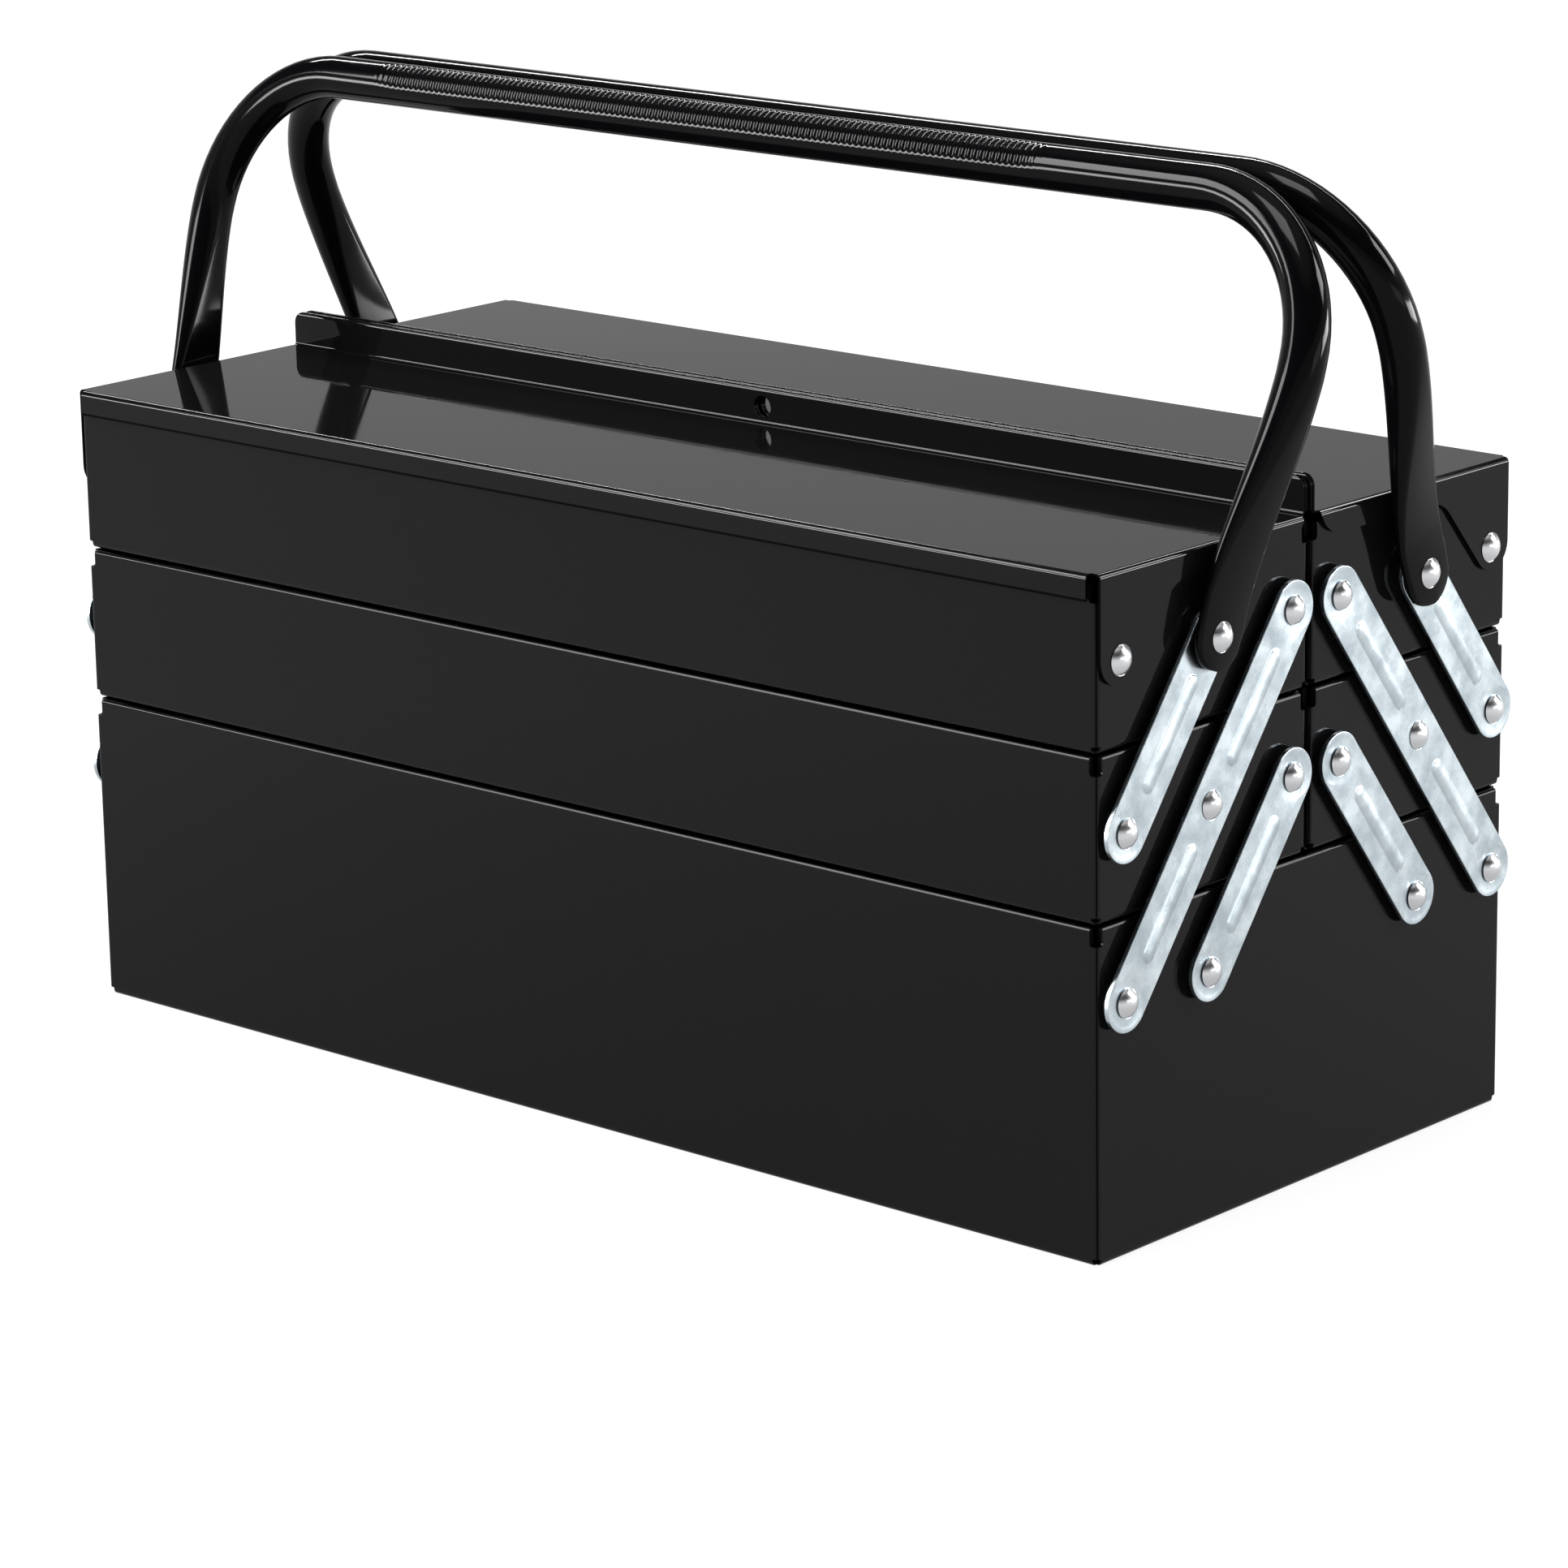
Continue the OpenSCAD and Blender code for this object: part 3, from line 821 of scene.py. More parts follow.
@dataclass
class Lid:
    """A lid folded from one sheet: front flange, end flanges with an ear, and a hemmed upstand."""

    side: Side
    bend: float = 1.6               # mm, outer radius of the bends
    slot_w: float = 3.6             # mm, from the end flange's face to the front flange's end
    flange_h: float = 8.0           # mm, depth of the flanges from the top face
    upstand_t: float = 2.0          # mm, thickness of the folded upstand
    upstand_r: float = 4.0          # mm, radius of its top corners
    ear_r: float = 8.3              # mm, radius of the ear
    ear_reach: float = 9.1          # mm, from the hinge rivet to the ear's outer edge
    ear_rise: float = 1.0           # mm, height of the ear's middle above the rivet
    ear_run: float = 26.0           # mm, length of the ear's sloping side along Y
    notch_r: float = 0.7            # mm, rounding of the corner notch
    slope_round: float = 5.0        # mm, rounding of the slope's upper end
    lock_cell: float = 5.0          # mm, half the width of the square cut round the padlock hole
    hinge_cell: float = 3.56        # mm, the same round a hinge hole
    shade_line_h: float = 0.75           # mm, height of the painted shade line along the flange's lower edge
    edge_break: float = 0.3         # mm
    bend_steps: int = 6
    hem_steps: int = 8
    ear_steps: int = 16

    def build(self) -> bpy.types.Object:
        """Builds the lid's piece."""
        low, high = box_mm("front_lid")
        self.end, self.front, self.back = high.x, low.y, high.y
        self.crest = high.z
        self.ear_y, self.ear_z = PIVOTS.outer - self.ear_reach + self.ear_r, PIVOTS.top_row + self.ear_rise
        self.top = self.top_level()
        bm = bmesh.new()
        self.panel(bm)
        self.fold_front(bm)
        for way in (-1, 1):
            self.fold_end(bm, way)
        self.fold_upstand(bm)
        self.face_up(bm)
        self.pierce(bm)
        self.face_up(bm)
        place(bm, self.side)
        word = self.side.word
        # The lid's cut edges take material 1 too: the painted shade enamel
        piece = Piece(f"{word}_lid_sheet", f"{word}_lid", Slot.TRAY, (f"{word}_lid",),
                      edge_break=self.edge_break, wall=SHEET, more=(PAINTED_SHADE_ENAMEL,), rim_index=1)
        return piece.finish(bm)

    def top_level(self) -> float:
        """Height of the lid's top face, found from the CAD mesh's broadest level."""
        levels: dict[float, float] = {}
        for face in frame["nodes"]["front_lid"].data.polygons:
            if face.normal.z > FLAT:
                level = round(face.center.z / MM, 2)
                levels[level] = levels.get(level, 0.0) + face.area
        return max(levels, key=lambda level: levels[level])

    def panel(self, bm: BMesh) -> None:
        """Draws the flat top panel with its small corners cut.

        Args:
            bm: Mesh.
        """
        inner = self.bend - SHEET
        self.foot_y = self.back - self.upstand_t - inner
        self.fold_x, self.fold_y = self.end - self.bend, self.front + self.bend
        self.flange_x = self.end - self.slot_w
        self.ear_edge = PIVOTS.outer - self.ear_reach
        self.slope_y = self.back - self.upstand_t - self.bend
        half = [(self.flange_x, self.fold_y), (self.flange_x, self.ear_edge), (self.fold_x, self.ear_edge),
                (self.fold_x, self.slope_y), (self.fold_x, self.foot_y)]
        outline = half + [(-x, y) for x, y in reversed(half)]
        verts = [bm.verts.new((x, y, self.top)) for x, y in outline]
        bm.faces.new(verts)
        round_off(bm, [verts[1], verts[-2]], self.notch_r, self.bend_steps, "VERTICES")

    def fold_front(self, bm: BMesh) -> None:
        """Bends the front flange down.

        Args:
            bm: Mesh.
        """
        edges = edges_where(bm, lambda c: abs(c.y - self.fold_y) < TINY)
        centre = Vector((0, self.fold_y, self.top - self.bend))
        last = bend_edges(bm, edges, centre, Vector((1, 0, 0)), 90, self.bend_steps)
        last = pull_edges(bm, last, Vector((0, 0, self.bend - self.flange_h + self.shade_line_h)))
        pull_edges(bm, last, Vector((0, 0, -self.shade_line_h)))
        # The flange's lowest strip takes material 1, the painted shade enamel
        for face in faces_where(bm, lambda c: abs(c.y - self.front) < TINY and c.z < self.top - self.flange_h
                                + self.shade_line_h):
            face.material_index = 1

    def fold_end(self, bm: BMesh, way: int) -> None:
        """Bends one end flange down and draws its outline with the ear.

        Args:
            bm: Mesh.
            way: 1 for the right end, -1 for the left.
        """
        edges = edges_where(bm, lambda c: abs(c.x - way * self.fold_x) < TINY and c.y < self.slope_y + TINY)
        centre = Vector((way * self.fold_x, 0, self.top - self.bend))
        last = bend_edges(bm, edges, centre, Vector((0, way, 0)), 90, self.bend_steps)
        upper = [v for e in last for v in e.verts]
        outer, inner = sorted(upper, key=lambda v: v.co.y)
        flange_z, face_x = self.top - self.flange_h, way * self.end
        to_top = Vector((self.ear_y + self.ear_run, flange_z)) - Vector((self.ear_y, self.ear_z))
        touch = math.atan2(to_top.y, to_top.x) - math.acos(self.ear_r / to_top.length)
        start = bm.verts.new((face_x, self.ear_edge, self.ear_z))
        spun = bmesh.ops.spin(bm, geom=[start], cent=(face_x, self.ear_y, self.ear_z), axis=(1, 0, 0),
                              dvec=(0, 0, 0), angle=math.pi + touch, steps=self.ear_steps)
        arc_end = verts_of(spun["geom_last"])[0]
        slope_top = bm.verts.new((face_x, self.ear_y + self.ear_run, flange_z))
        slope_low = bm.verts.new((face_x, self.slope_y - self.flange_h / 2, flange_z))
        links = [bm.edges.new(pair) for pair in ((outer, start), (arc_end, slope_top), (slope_top, slope_low),
                                                 (slope_low, inner))]
        arc = [e for e in bm.edges if e.is_wire and e not in links]
        bmesh.ops.contextual_create(bm, geom=arc + links + last)
        round_off(bm, [slope_top, slope_low], self.slope_round, self.bend_steps, "VERTICES")

    def fold_upstand(self, bm: BMesh) -> None:
        """Bends the upstand up and folds it back on itself.

        Args:
            bm: Mesh.
        """
        inner = self.bend - SHEET
        hem = self.upstand_t / 2
        edges = edges_where(bm, lambda c: abs(c.y - self.foot_y) < TINY)
        centre = Vector((0, self.foot_y, self.top + inner))
        last = bend_edges(bm, edges, centre, Vector((1, 0, 0)), 90, self.bend_steps)
        rise = self.crest - hem - (self.top + inner)
        last = pull_edges(bm, last, Vector((0, 0, rise)))
        centre = Vector((0, self.back - hem, self.crest - hem))
        last = bend_edges(bm, last, centre, Vector((-1, 0, 0)), 180, self.hem_steps)
        pull_edges(bm, last, Vector((0, 0, -rise)))
        self.round_upstand(bm)

    def round_upstand(self, bm: BMesh) -> None:
        """Trims the two top corners of the upstand round.

        Args:
            bm: Mesh.
        """
        for way in (-1, 1):
            middle = Vector((way * (self.fold_x - self.upstand_r), 0, self.crest - self.upstand_r))
            for step in range(1, self.hem_steps):
                angle = math.pi / 2 * step / self.hem_steps
                across = Vector((way * math.cos(angle), 0, math.sin(angle)))
                above = with_bounds(faces_where(bm, lambda c: c.y > self.foot_y - TINY))
                bmesh.ops.bisect_plane(bm, geom=above, dist=NEAR, plane_co=middle + across * self.upstand_r,
                                       plane_no=across, clear_outer=True)

    def pierce(self, bm: BMesh) -> None:
        """Punches the padlock hole through both layers and the hinge holes through the ears.

        Args:
            bm: Mesh.
        """
        lock = next(m for m in frame["record"]["mounts"] if m["name"] == "padlock_hole")
        lock_z, lock_r = lock["pos_m"][2] / MM, lock["dims"]["r_mm"]
        for y in (self.back - self.upstand_t, self.back):
            punch(bm, Vector((0, y, lock_z)), Vector((0, 1, 0)), lock_r, self.lock_cell)
        for way in (-1, 1):
            punch(bm, Vector((way * self.end, PIVOTS.outer, PIVOTS.top_row)), Vector((1, 0, 0)), SHANK_HOLE,
                  self.hinge_cell)

    def face_up(self, bm: BMesh) -> None:
        """Turns the faces so that the panel's faces look up."""
        face_outwards(bm, lambda c: abs(c.z - self.top) < TINY, Vector((0, 0, 1)))


# ---------------------------------------------------------------- links

@dataclass
class Link:
    """A flat link with a pressed bead on each span and a pressed ring round its end rivets."""

    kind: str                       # long, lower or upper
    side: Side
    end: End
    width: float = 18.0             # mm
    bead_l: float = 38.0            # mm
    bead_w: float = 5.0             # mm
    ring_r: tuple[float, float] = (7.4, 6.8)     # mm, outer and inner edge of the pressed step
    ring_depth: float = 0.22        # mm
    edge_break: float = 0.22        # mm

    # Half width and height of the bead's loops, from its foot to its crest
    BEAD = ((2.9, 0.0), (2.65, 0.03), (2.45, 0.15), (2.15, 0.3), (1.75, 0.44), (1.25, 0.56), (0.65, 0.65),
            (0.1, 0.69))

    def start(self) -> tuple[int, float, float]:
        """Number of spans, and the Y and Z of the lowest rivet."""
        places = {"long": (2, PIVOTS.outer, PIVOTS.base_row), "lower": (1, PIVOTS.middle, PIVOTS.base_row),
                  "upper": (1, PIVOTS.outer, PIVOTS.middle_row)}
        return places[self.kind]

    def build(self) -> bpy.types.Object:
        """Builds the link's piece."""
        spans, low_y, low_z = self.start()
        bm = bmesh.new()
        outline = capsule(bm, self.width / 2, 0, spans * PIVOTS.pitch)
        flat = edges_between(outline)
        for i in range(spans):
            flat += self.bead(bm, (i + 0.5) * PIVOTS.pitch)
        for i in range(spans + 1):
            flat += self.hole(bm, i * PIVOTS.pitch, i in (0, spans))
        fill_flat(bm, flat, Vector((1, 0, 0)))
        face_outwards(bm, lambda c: True, Vector((1, 0, 0)))
        bmesh.ops.rotate(bm, cent=(0, 0, 0), matrix=Matrix.Rotation(-PIVOTS.lean, 3, "X"), verts=bm.verts)
        bmesh.ops.translate(bm, vec=(WALL + LINK_X + LINK_T, low_y, low_z), verts=bm.verts)
        place(bm, self.side, self.end)
        node = f"{self.side.word}_{self.kind}_link_{self.end.word}"
        piece = Piece(node + "_strip", node, Slot.ZINC, (node,), edge_break=self.edge_break, wall=LINK_T)
        return piece.finish(bm)

    def bead(self, bm: BMesh, middle: float) -> list:
        """Presses one bead.

        Args:
            bm: Mesh.
            middle: Height of its middle.

        Returns:
            The edges of its foot.
        """
        reach = (self.bead_l - self.bead_w) / 2
        loops = []
        for half_width, height in self.BEAD:
            loop = capsule(bm, half_width, middle - reach, middle + reach)
            bmesh.ops.translate(bm, vec=(height, 0, 0), verts=loop)
            loops.append(edges_between(loop))
        for lower, upper in zip(loops, loops[1:]):
            bmesh.ops.bridge_loops(bm, edges=lower + upper)
        bmesh.ops.contextual_create(bm, geom=loops[-1])
        return loops[0]

    def hole(self, bm: BMesh, height: float, pressed: bool) -> list:
        """Draws a rivet hole, with a pressed step round it at the link's ends.

        Args:
            bm: Mesh.
            height: Height of the hole.
            pressed: Whether the step is there.

        Returns:
            The edges that the flat face is filled up to.
        """
        across = Vector((1, 0, 0))
        centre = Vector((0, 0, height))
        hole = edges_between(ring_at(bm, centre, across, SHANK_HOLE, HOLE_STEPS))
        if not pressed:
            return hole
        sunk = Vector((-self.ring_depth, 0, 0))
        outer, inner = (edges_between(ring_at(bm, middle, across, radius, ROUND_STEPS))
                        for middle, radius in zip((centre, centre + sunk), self.ring_r))
        bmesh.ops.bridge_loops(bm, edges=outer + inner)
        bmesh.ops.translate(bm, vec=sunk, verts=list({v for e in hole for v in e.verts}))
        fill_flat(bm, inner + hole, across)
        return outer


# ---------------------------------------------------------------- rivets, spacers, washers

@dataclass
class Turned:
    """Round pieces on the box's ends, each turned about its own rivet's axis."""

    node: str
    body: str
    slot: Slot
    columns: Sequence[float]                    # mm, Y of each on the front half
    row: float                                  # mm, Z of all
    side: Side
    profile: Sequence[tuple[float, float]]      # radius and distance outwards from the end wall, in mm

    def build(self) -> bpy.types.Object:
        """Builds all of the node's round pieces as one piece."""
        bm = bmesh.new()
        for y in self.columns:
            for end in End:
                self.turn(bm, end, Vector((0, y * self.side.value, self.row)))
        bmesh.ops.remove_doubles(bm, verts=bm.verts, dist=TINY / 2)
        bmesh.ops.recalc_face_normals(bm, faces=bm.faces)
        return Piece(self.node + "_turned", self.body, self.slot, (self.node,)).finish(bm)

    def turn(self, bm: BMesh, end: End, centre: Vector) -> None:
        """Spins the profile round one place.

        Args:
            bm: Mesh.
            end: End of the box.
            centre: The rivet's axis, with X at 0.
        """
        verts = [bm.verts.new((end.value * (WALL + out), centre.y + radius, centre.z))
                 for radius, out in self.profile]
        is_ring = self.profile[0][0] > 0
        pairs = list(zip(verts, verts[1:])) + ([(verts[-1], verts[0])] if is_ring else [])
        edges = [bm.edges.new(pair) for pair in pairs]
        bmesh.ops.spin(bm, geom=verts + edges, cent=centre, axis=(1, 0, 0), dvec=(0, 0, 0), angle=math.tau,
                       steps=ROUND_STEPS, use_merge=True, use_duplicate=False)


@dataclass(frozen=True)
class RivetShape:
    """A domed rivet's sizes, in millimetres."""

    head_r: float = 4.6
    head_h: float = 2.4
    shank_r: float = 2.5
    tail_r: float = 3.6
    tail_h: float = 1.0
    land: float = 0.12              # the head's short upright rim
    dome_share: float = 0.985       # share of the dome's arc above that rim
    tail_edge: float = 0.4          # chamfer of the tail
    dome_steps: int = 12

    def profile(self, head_x: float) -> list[tuple[float, float]]:
        """The rivet's half section, from the dome's middle to the tail's.

        Args:
            head_x: Distance of the head's underside from the end wall.

        Returns:
            Radius and distance outwards of each place.
        """
        dome = (self.head_r ** 2 + self.head_h ** 2) / (2 * self.head_h)
        widest = math.asin(self.head_r / dome)
        middle = head_x + self.head_h - dome
        points = []
        for step in range(self.dome_steps + 1):
            angle = widest * step / self.dome_steps * self.dome_share
            points.append((dome * math.sin(angle), middle + dome * math.cos(angle)))
        tail_x = -SHEET - self.tail_h
        return points + [(self.head_r, head_x + self.land), (self.head_r - self.land, head_x),
                         (self.shank_r, head_x), (self.shank_r, -SHEET), (self.tail_r, -SHEET),
                         (self.tail_r, tail_x + self.tail_edge), (self.tail_r - self.tail_edge, tail_x),
                         (0.0, tail_x)]


@dataclass(frozen=True)
class RingShape:
    """A spacer's or washer's sizes, in millimetres."""

    start: float
    thickness: float
    outer_r: float = 7.0
    edge: float = 0.15

    def profile(self) -> list[tuple[float, float]]:
        """The ring's section with broken outer edges."""
        low, high, edge = self.start, self.start + self.thickness, self.edge
        return [(SHANK_HOLE, low), (self.outer_r - edge, low), (self.outer_r, low + edge),
                (self.outer_r, high - edge), (self.outer_r - edge, high), (SHANK_HOLE, high)]


# ---------------------------------------------------------------- handles

@dataclass(frozen=True)
class Station:
    """One section of a handle tube, in the handle's own upright frame."""

    centre: Vector                  # mm
    outwards: Vector                # direction that the pressed face looks
    round_r: float                  # mm, radius of the section's two rounds
    half_flat: float                # mm, how far the rounds' middles stand off the section's middle
    roundness: float                # 0 for a pressed face, 1 for a round tube


@dataclass
class Handle:
    """A tube handle with two round bends and two pressed flat ends."""

    side: Side
    grip_pattern: bool
    tube_r: float = 7.1             # mm
    length: float = 129.0           # mm, from the rivet to the middle of the grip
    bend: float = 47.0              # mm, radius of the tube's bends
    tube_x: float = 14.9            # mm, from the end wall to the middle of the round tube
    plate_run: float = 11.0         # mm, the end is fully flat up to here
    round_run: float = 78.0         # mm, the leg is fully round from here
    crease: float = 82.5            # degrees, half of each round, so a faint crease stays beside the flat
    crease_end: float = 0.8         # share of the leg's run where the crease starts to fade
    swell_ease: float = 0.45        # share of a soft start and end in the way the leg swells
    hole_land: float = 0.8          # mm, from the rivet hole to the sections beside it
    smooth_angle: float = 42.0      # degrees, sharper edges stay sharp
    tip_steps: int = 8
    leg_steps: int = 22
    bend_steps: int = 18
    ridge_pitch: float = 2.4        # mm
    ridge_depth: float = 0.4        # mm
    ridge_reach: tuple[float, float] = (-160.0, 125.0)   # mm, along X
    ridge_face: float = 24.0        # degrees, middle of the patterned sector above level, facing the front
    ridge_half: float = 42.0        # degrees, half of that sector
    ridge_fade: float = 10.0        # mm, over which the pattern fades in and out
    ridge_rings: int = 4            # rings of vertices to each ridge

    def build(self) -> bpy.types.Object:
        """Builds the handle's piece."""
        bm = bmesh.new()
        self.sweep(bm, self.stations())
        if self.grip_pattern:
            self.cut_ridges(bm)
        for way in (-1, 1):
            self.pierce(bm, way)
        bmesh.ops.recalc_face_normals(bm, faces=bm.faces)
        lean = math.asin((-PIVOTS.middle - self.grip_y()) / self.length)
        bmesh.ops.rotate(bm, cent=(0, 0, 0), matrix=Matrix.Rotation(-lean, 3, "X"), verts=bm.verts)
        bmesh.ops.translate(bm, vec=(0, PIVOTS.middle, PIVOTS.top_row), verts=bm.verts)
        place(bm, self.side)
        word = self.side.word
        return Piece(f"{word}_handle_tube", f"{word}_handle", Slot.HANDLE, (f"{word}_handle",),
                     smooth_angle=self.smooth_angle).finish(bm)

    def grip_y(self) -> float:
        """Distance of the grip's middle from the box's middle."""
        return self.tube_r - box_mm("front_handle")[1].y

    def stations(self) -> list[Station]:
        """The sections from the right end over the grip to the left end."""
        right = self.leg_stations() + self.bend_stations()
        left = [Station(Vector((-s.centre.x, 0, s.centre.z)), Vector((-s.outwards.x, 0, s.outwards.z)),
                        s.round_r, s.half_flat, s.roundness) for s in reversed(right)]
        return right + self.grip_stations() + left

    def leg_stations(self) -> list[Station]:
        """The sections of the right leg, from the round tip of its pressed end upwards."""
        crease = math.sin(math.radians(self.crease))
        thin = PLATE_T / 2 / crease
        wide = math.pi * (self.tube_r - thin) / 2
        tip, beside, middle = wide + thin, SHANK_HOLE + self.hole_land, PLATE_X + PLATE_T / 2
        found = []
        for step in range(1, self.tip_steps):
            angle = math.pi / 2 * step / self.tip_steps
            run, half = -tip * math.cos(angle), tip * math.sin(angle)
            if run < -beside - self.hole_land:
                found.append((run, thin, max(half - thin, TINY * 2), 0.0, middle))
        found.append((-beside, thin, math.sqrt(tip ** 2 - beside ** 2) - thin, 0.0, middle))
        found.append((beside, thin, wide, 0.0, middle))
        for step in range(self.leg_steps + 1):
            share = step / self.leg_steps
            run = self.plate_run + (self.round_run - self.plate_run) * share
            ease = share * share * (3 - 2 * share)
            radius = thin + (self.tube_r - thin) * (share * (1 - self.swell_ease) + ease * self.swell_ease)
            flat = math.pi * (self.tube_r - radius) / 2
            roundness = max(0.0, (share - self.crease_end) / (1 - self.crease_end))
            half_t = radius * (crease * (1 - roundness) + roundness)
            inner = PLATE_X + (self.tube_x - self.tube_r - PLATE_X) * ease
            found.append((run, radius, flat, roundness, inner + half_t))
        return [Station(Vector((WALL + x, 0, run)), Vector((1, 0, 0)), r, flat, roundness)
                for run, r, flat, roundness, x in found]

    def bend_stations(self) -> list[Station]:
        """The sections of the right bend, after the leg."""
        centre = Vector((WALL + self.tube_x - self.bend, 0, self.length - self.bend))
        found = []
        for step in range(self.bend_steps + 1):
            angle = math.pi / 2 * step / self.bend_steps
            out = Vector((math.cos(angle), 0, math.sin(angle)))
            found.append(Station(centre + out * self.bend, out, self.tube_r, 0.0, 1.0))
        return found

    def grip_stations(self) -> list[Station]:
        """The sections of the grip, which is straight between the ends of its pattern."""
        up = Vector((0, 0, 1))
        return [Station(Vector((x, 0, self.length)), up, self.tube_r, 0.0, 1.0)
                for x in (self.ridge_reach[1], self.ridge_reach[0])]

    def cut_ridges(self, bm: BMesh) -> None:
        """Presses fine ridges across the front of the grip.

        Args:
            bm: Mesh of the handle.
        """
        low, high = self.ridge_reach
        lengthwise = [e for e in bm.edges
                      if abs(abs(e.verts[0].co.x - e.verts[1].co.x) - (high - low)) < TINY]
        ridges = round((high - low) / self.ridge_pitch)
        bmesh.ops.subdivide_edges(bm, edges=lengthwise, cuts=ridges * self.ridge_rings - 1)
        for vert in bm.verts:
            if not low < vert.co.x < high:
                continue
            deep, wide = vert.co.z - self.length, vert.co.y
            if math.hypot(deep, wide) > self.tube_r + TINY:
                continue
            off = math.degrees(math.atan2(deep, -wide)) - self.ridge_face
            sector = min(1.0, 2 * max(0.0, 1 - (off / self.ridge_half) ** 2))
            fade = min(1.0, (high - vert.co.x) / self.ridge_fade, (vert.co.x - low) / self.ridge_fade)
            wave = 0.5 - 0.5 * math.cos(math.tau * (vert.co.x - low) / (high - low) * ridges)
            keep = 1 - self.ridge_depth * wave * sector * fade / self.tube_r
            vert.co.z, vert.co.y = self.length + deep * keep, wide * keep

    def shape_ring(self, ring: Iterable, number: bmesh.types.BMLayerItem, station: Station) -> None:
        """Moves a ring of vertices to a station's section.

        Args:
            ring: Vertices.
            number: Layer that holds each vertex's place round the ring.
            station: Section that the ring takes.
        """
        crease = math.radians(self.crease)
        across = Vector((0, 1, 0))
        for vert in ring:
            angle = math.tau * vert[number] / ROUND_STEPS
            wide, deep = math.cos(angle), math.sin(angle)
            if abs(deep) <= math.sin(crease) * (1 + NEAR / self.tube_r):
                y = math.copysign(station.half_flat, wide) + station.round_r * wide
                x = station.round_r * deep
            else:
                y = (station.half_flat / math.cos(crease) + station.round_r) * wide
                pressed = math.sin(crease) + (abs(deep) - math.sin(crease)) * station.roundness
                x = math.copysign(station.round_r * pressed, deep)
            vert.co = station.centre + station.outwards * x + across * y

    def sweep(self, bm: BMesh, stations: list[Station]) -> None:
        """Extrudes one ring from station to station and closes both tips.

        Args:
            bm: Mesh.
            stations: Sections in order.
        """
        number = bm.verts.layers.int.new("around")
        ring = bmesh.ops.create_circle(bm, segments=ROUND_STEPS, radius=1.0)["verts"]
        ring.sort(key=lambda v: math.atan2(v.co.y, v.co.x) % math.tau)
        for i, vert in enumerate(ring):
            vert[number] = i
        self.shape_ring(ring, number, stations[0])
        edges = edges_between(ring)
        bmesh.ops.contextual_create(bm, geom=edges)
        for station in stations[1:]:
            made = bmesh.ops.extrude_edge_only(bm, edges=edges)["geom"]
            ring = verts_of(made)
            self.shape_ring(ring, number, station)
            edges = edges_between(ring)
        bmesh.ops.contextual_create(bm, geom=edges)

    def pierce(self, bm: BMesh, way: int) -> None:
        """Punches the rivet hole through one pressed end.

        Args:
            bm: Mesh.
            way: 1 for the right end, -1 for the left.
        """
        bm.normal_update()
        across = Vector((1, 0, 0))
        rings = []
        for out in (PLATE_X, PLATE_X + PLATE_T):
            face_x = way * (WALL + out)
            flat = [f for f in bm.faces if abs(f.calc_center_median().x - face_x) < TINY
                    and abs(f.normal.x) > FLAT
                    and all(abs(v.co.z) < SHANK_HOLE + self.hole_land + TINY for v in f.verts)]
            rim = [e for e in {e for f in flat for e in f.edges} if sum(f in flat for f in e.link_faces) == 1]
            bmesh.ops.delete(bm, geom=flat, context="FACES")
            ring = edges_between(ring_at(bm, across * face_x, across, SHANK_HOLE, HOLE_STEPS))
            fill_flat(bm, rim + ring, across)
            rings += ring
        bmesh.ops.bridge_loops(bm, edges=rings)


# ---------------------------------------------------------------- the box

@dataclass
class ToolBox:
    """The whole box, built one sub-assembly after another."""

    link_head_x: float = WASHER_X               # mm, from the end wall to the heads on the links
    plate_head_x: float = PLATE_X + PLATE_T + STACK_GAP     # mm, to the heads on the handles
    lid_head_x: float = 1.4                     # mm, to the heads on the lids

    def build(self) -> None:
        """Builds every piece."""
        Tray("base_tray", "base").build()
        for side in Side:
            word = side.word
            for level in ("middle", "top"):
                Tray(f"{word}_{level}_tray", f"{word}_{level}_tray").build()
            Lid(side).build()
            Handle(side, grip_pattern=side is Side.FRONT).build()
            for end in End:
                for kind in ("long", "lower", "upper"):
                    Link(kind, side, end).build()
            self.half_hardware(side)
        self.base_hardware()

    def half_hardware(self, side: Side) -> None:
        """Builds one half's rivets, spacers and washers.

        Args:
            side: Front or rear half.
        """
        link, plate, lid = (RivetShape().profile(x) for x in (self.link_head_x, self.plate_head_x,
                                                              self.lid_head_x))
        spacer, washer = RingShape(0.0, SPACER_T).profile(), RingShape(WASHER_X, WASHER_T).profile()
        outer, middle, inner = full_row = PIVOTS.outer, PIVOTS.middle, PIVOTS.inner
        for name, body, slot, columns, row, profile in (
                ("middle_rivets", "middle_tray", Slot.RIVET, full_row, PIVOTS.middle_row, link),
                ("top_rivets", "top_tray", Slot.RIVET, (inner,), PIVOTS.top_row, link),
                ("handle_rivets", "top_tray", Slot.RIVET, (middle,), PIVOTS.top_row, plate),
                ("lid_rivets", "top_tray", Slot.RIVET, (outer,), PIVOTS.top_row, lid),
                ("middle_spacers", "middle_tray", Slot.SPACER, full_row, PIVOTS.middle_row, spacer),
                ("top_spacers", "top_tray", Slot.SPACER, (middle, inner), PIVOTS.top_row, spacer),
                ("handle_washers", "top_tray", Slot.SPACER, (middle,), PIVOTS.top_row, washer)):
            Turned(f"{side.word}_{name}", f"{side.word}_{body}", slot, columns, row, side, profile).build()

    def base_hardware(self) -> None:
        """Builds the rivets and spacers of the bottom tray."""
        columns = (PIVOTS.outer, PIVOTS.middle, -PIVOTS.middle, -PIVOTS.outer)
        for name, slot, profile in (("base_rivets", Slot.RIVET, RivetShape().profile(self.link_head_x)),
                                    ("base_spacers", Slot.SPACER, RingShape(0.0, SPACER_T).profile())):
            Turned(name, "base", slot, columns, PIVOTS.base_row, Side.FRONT, profile).build()


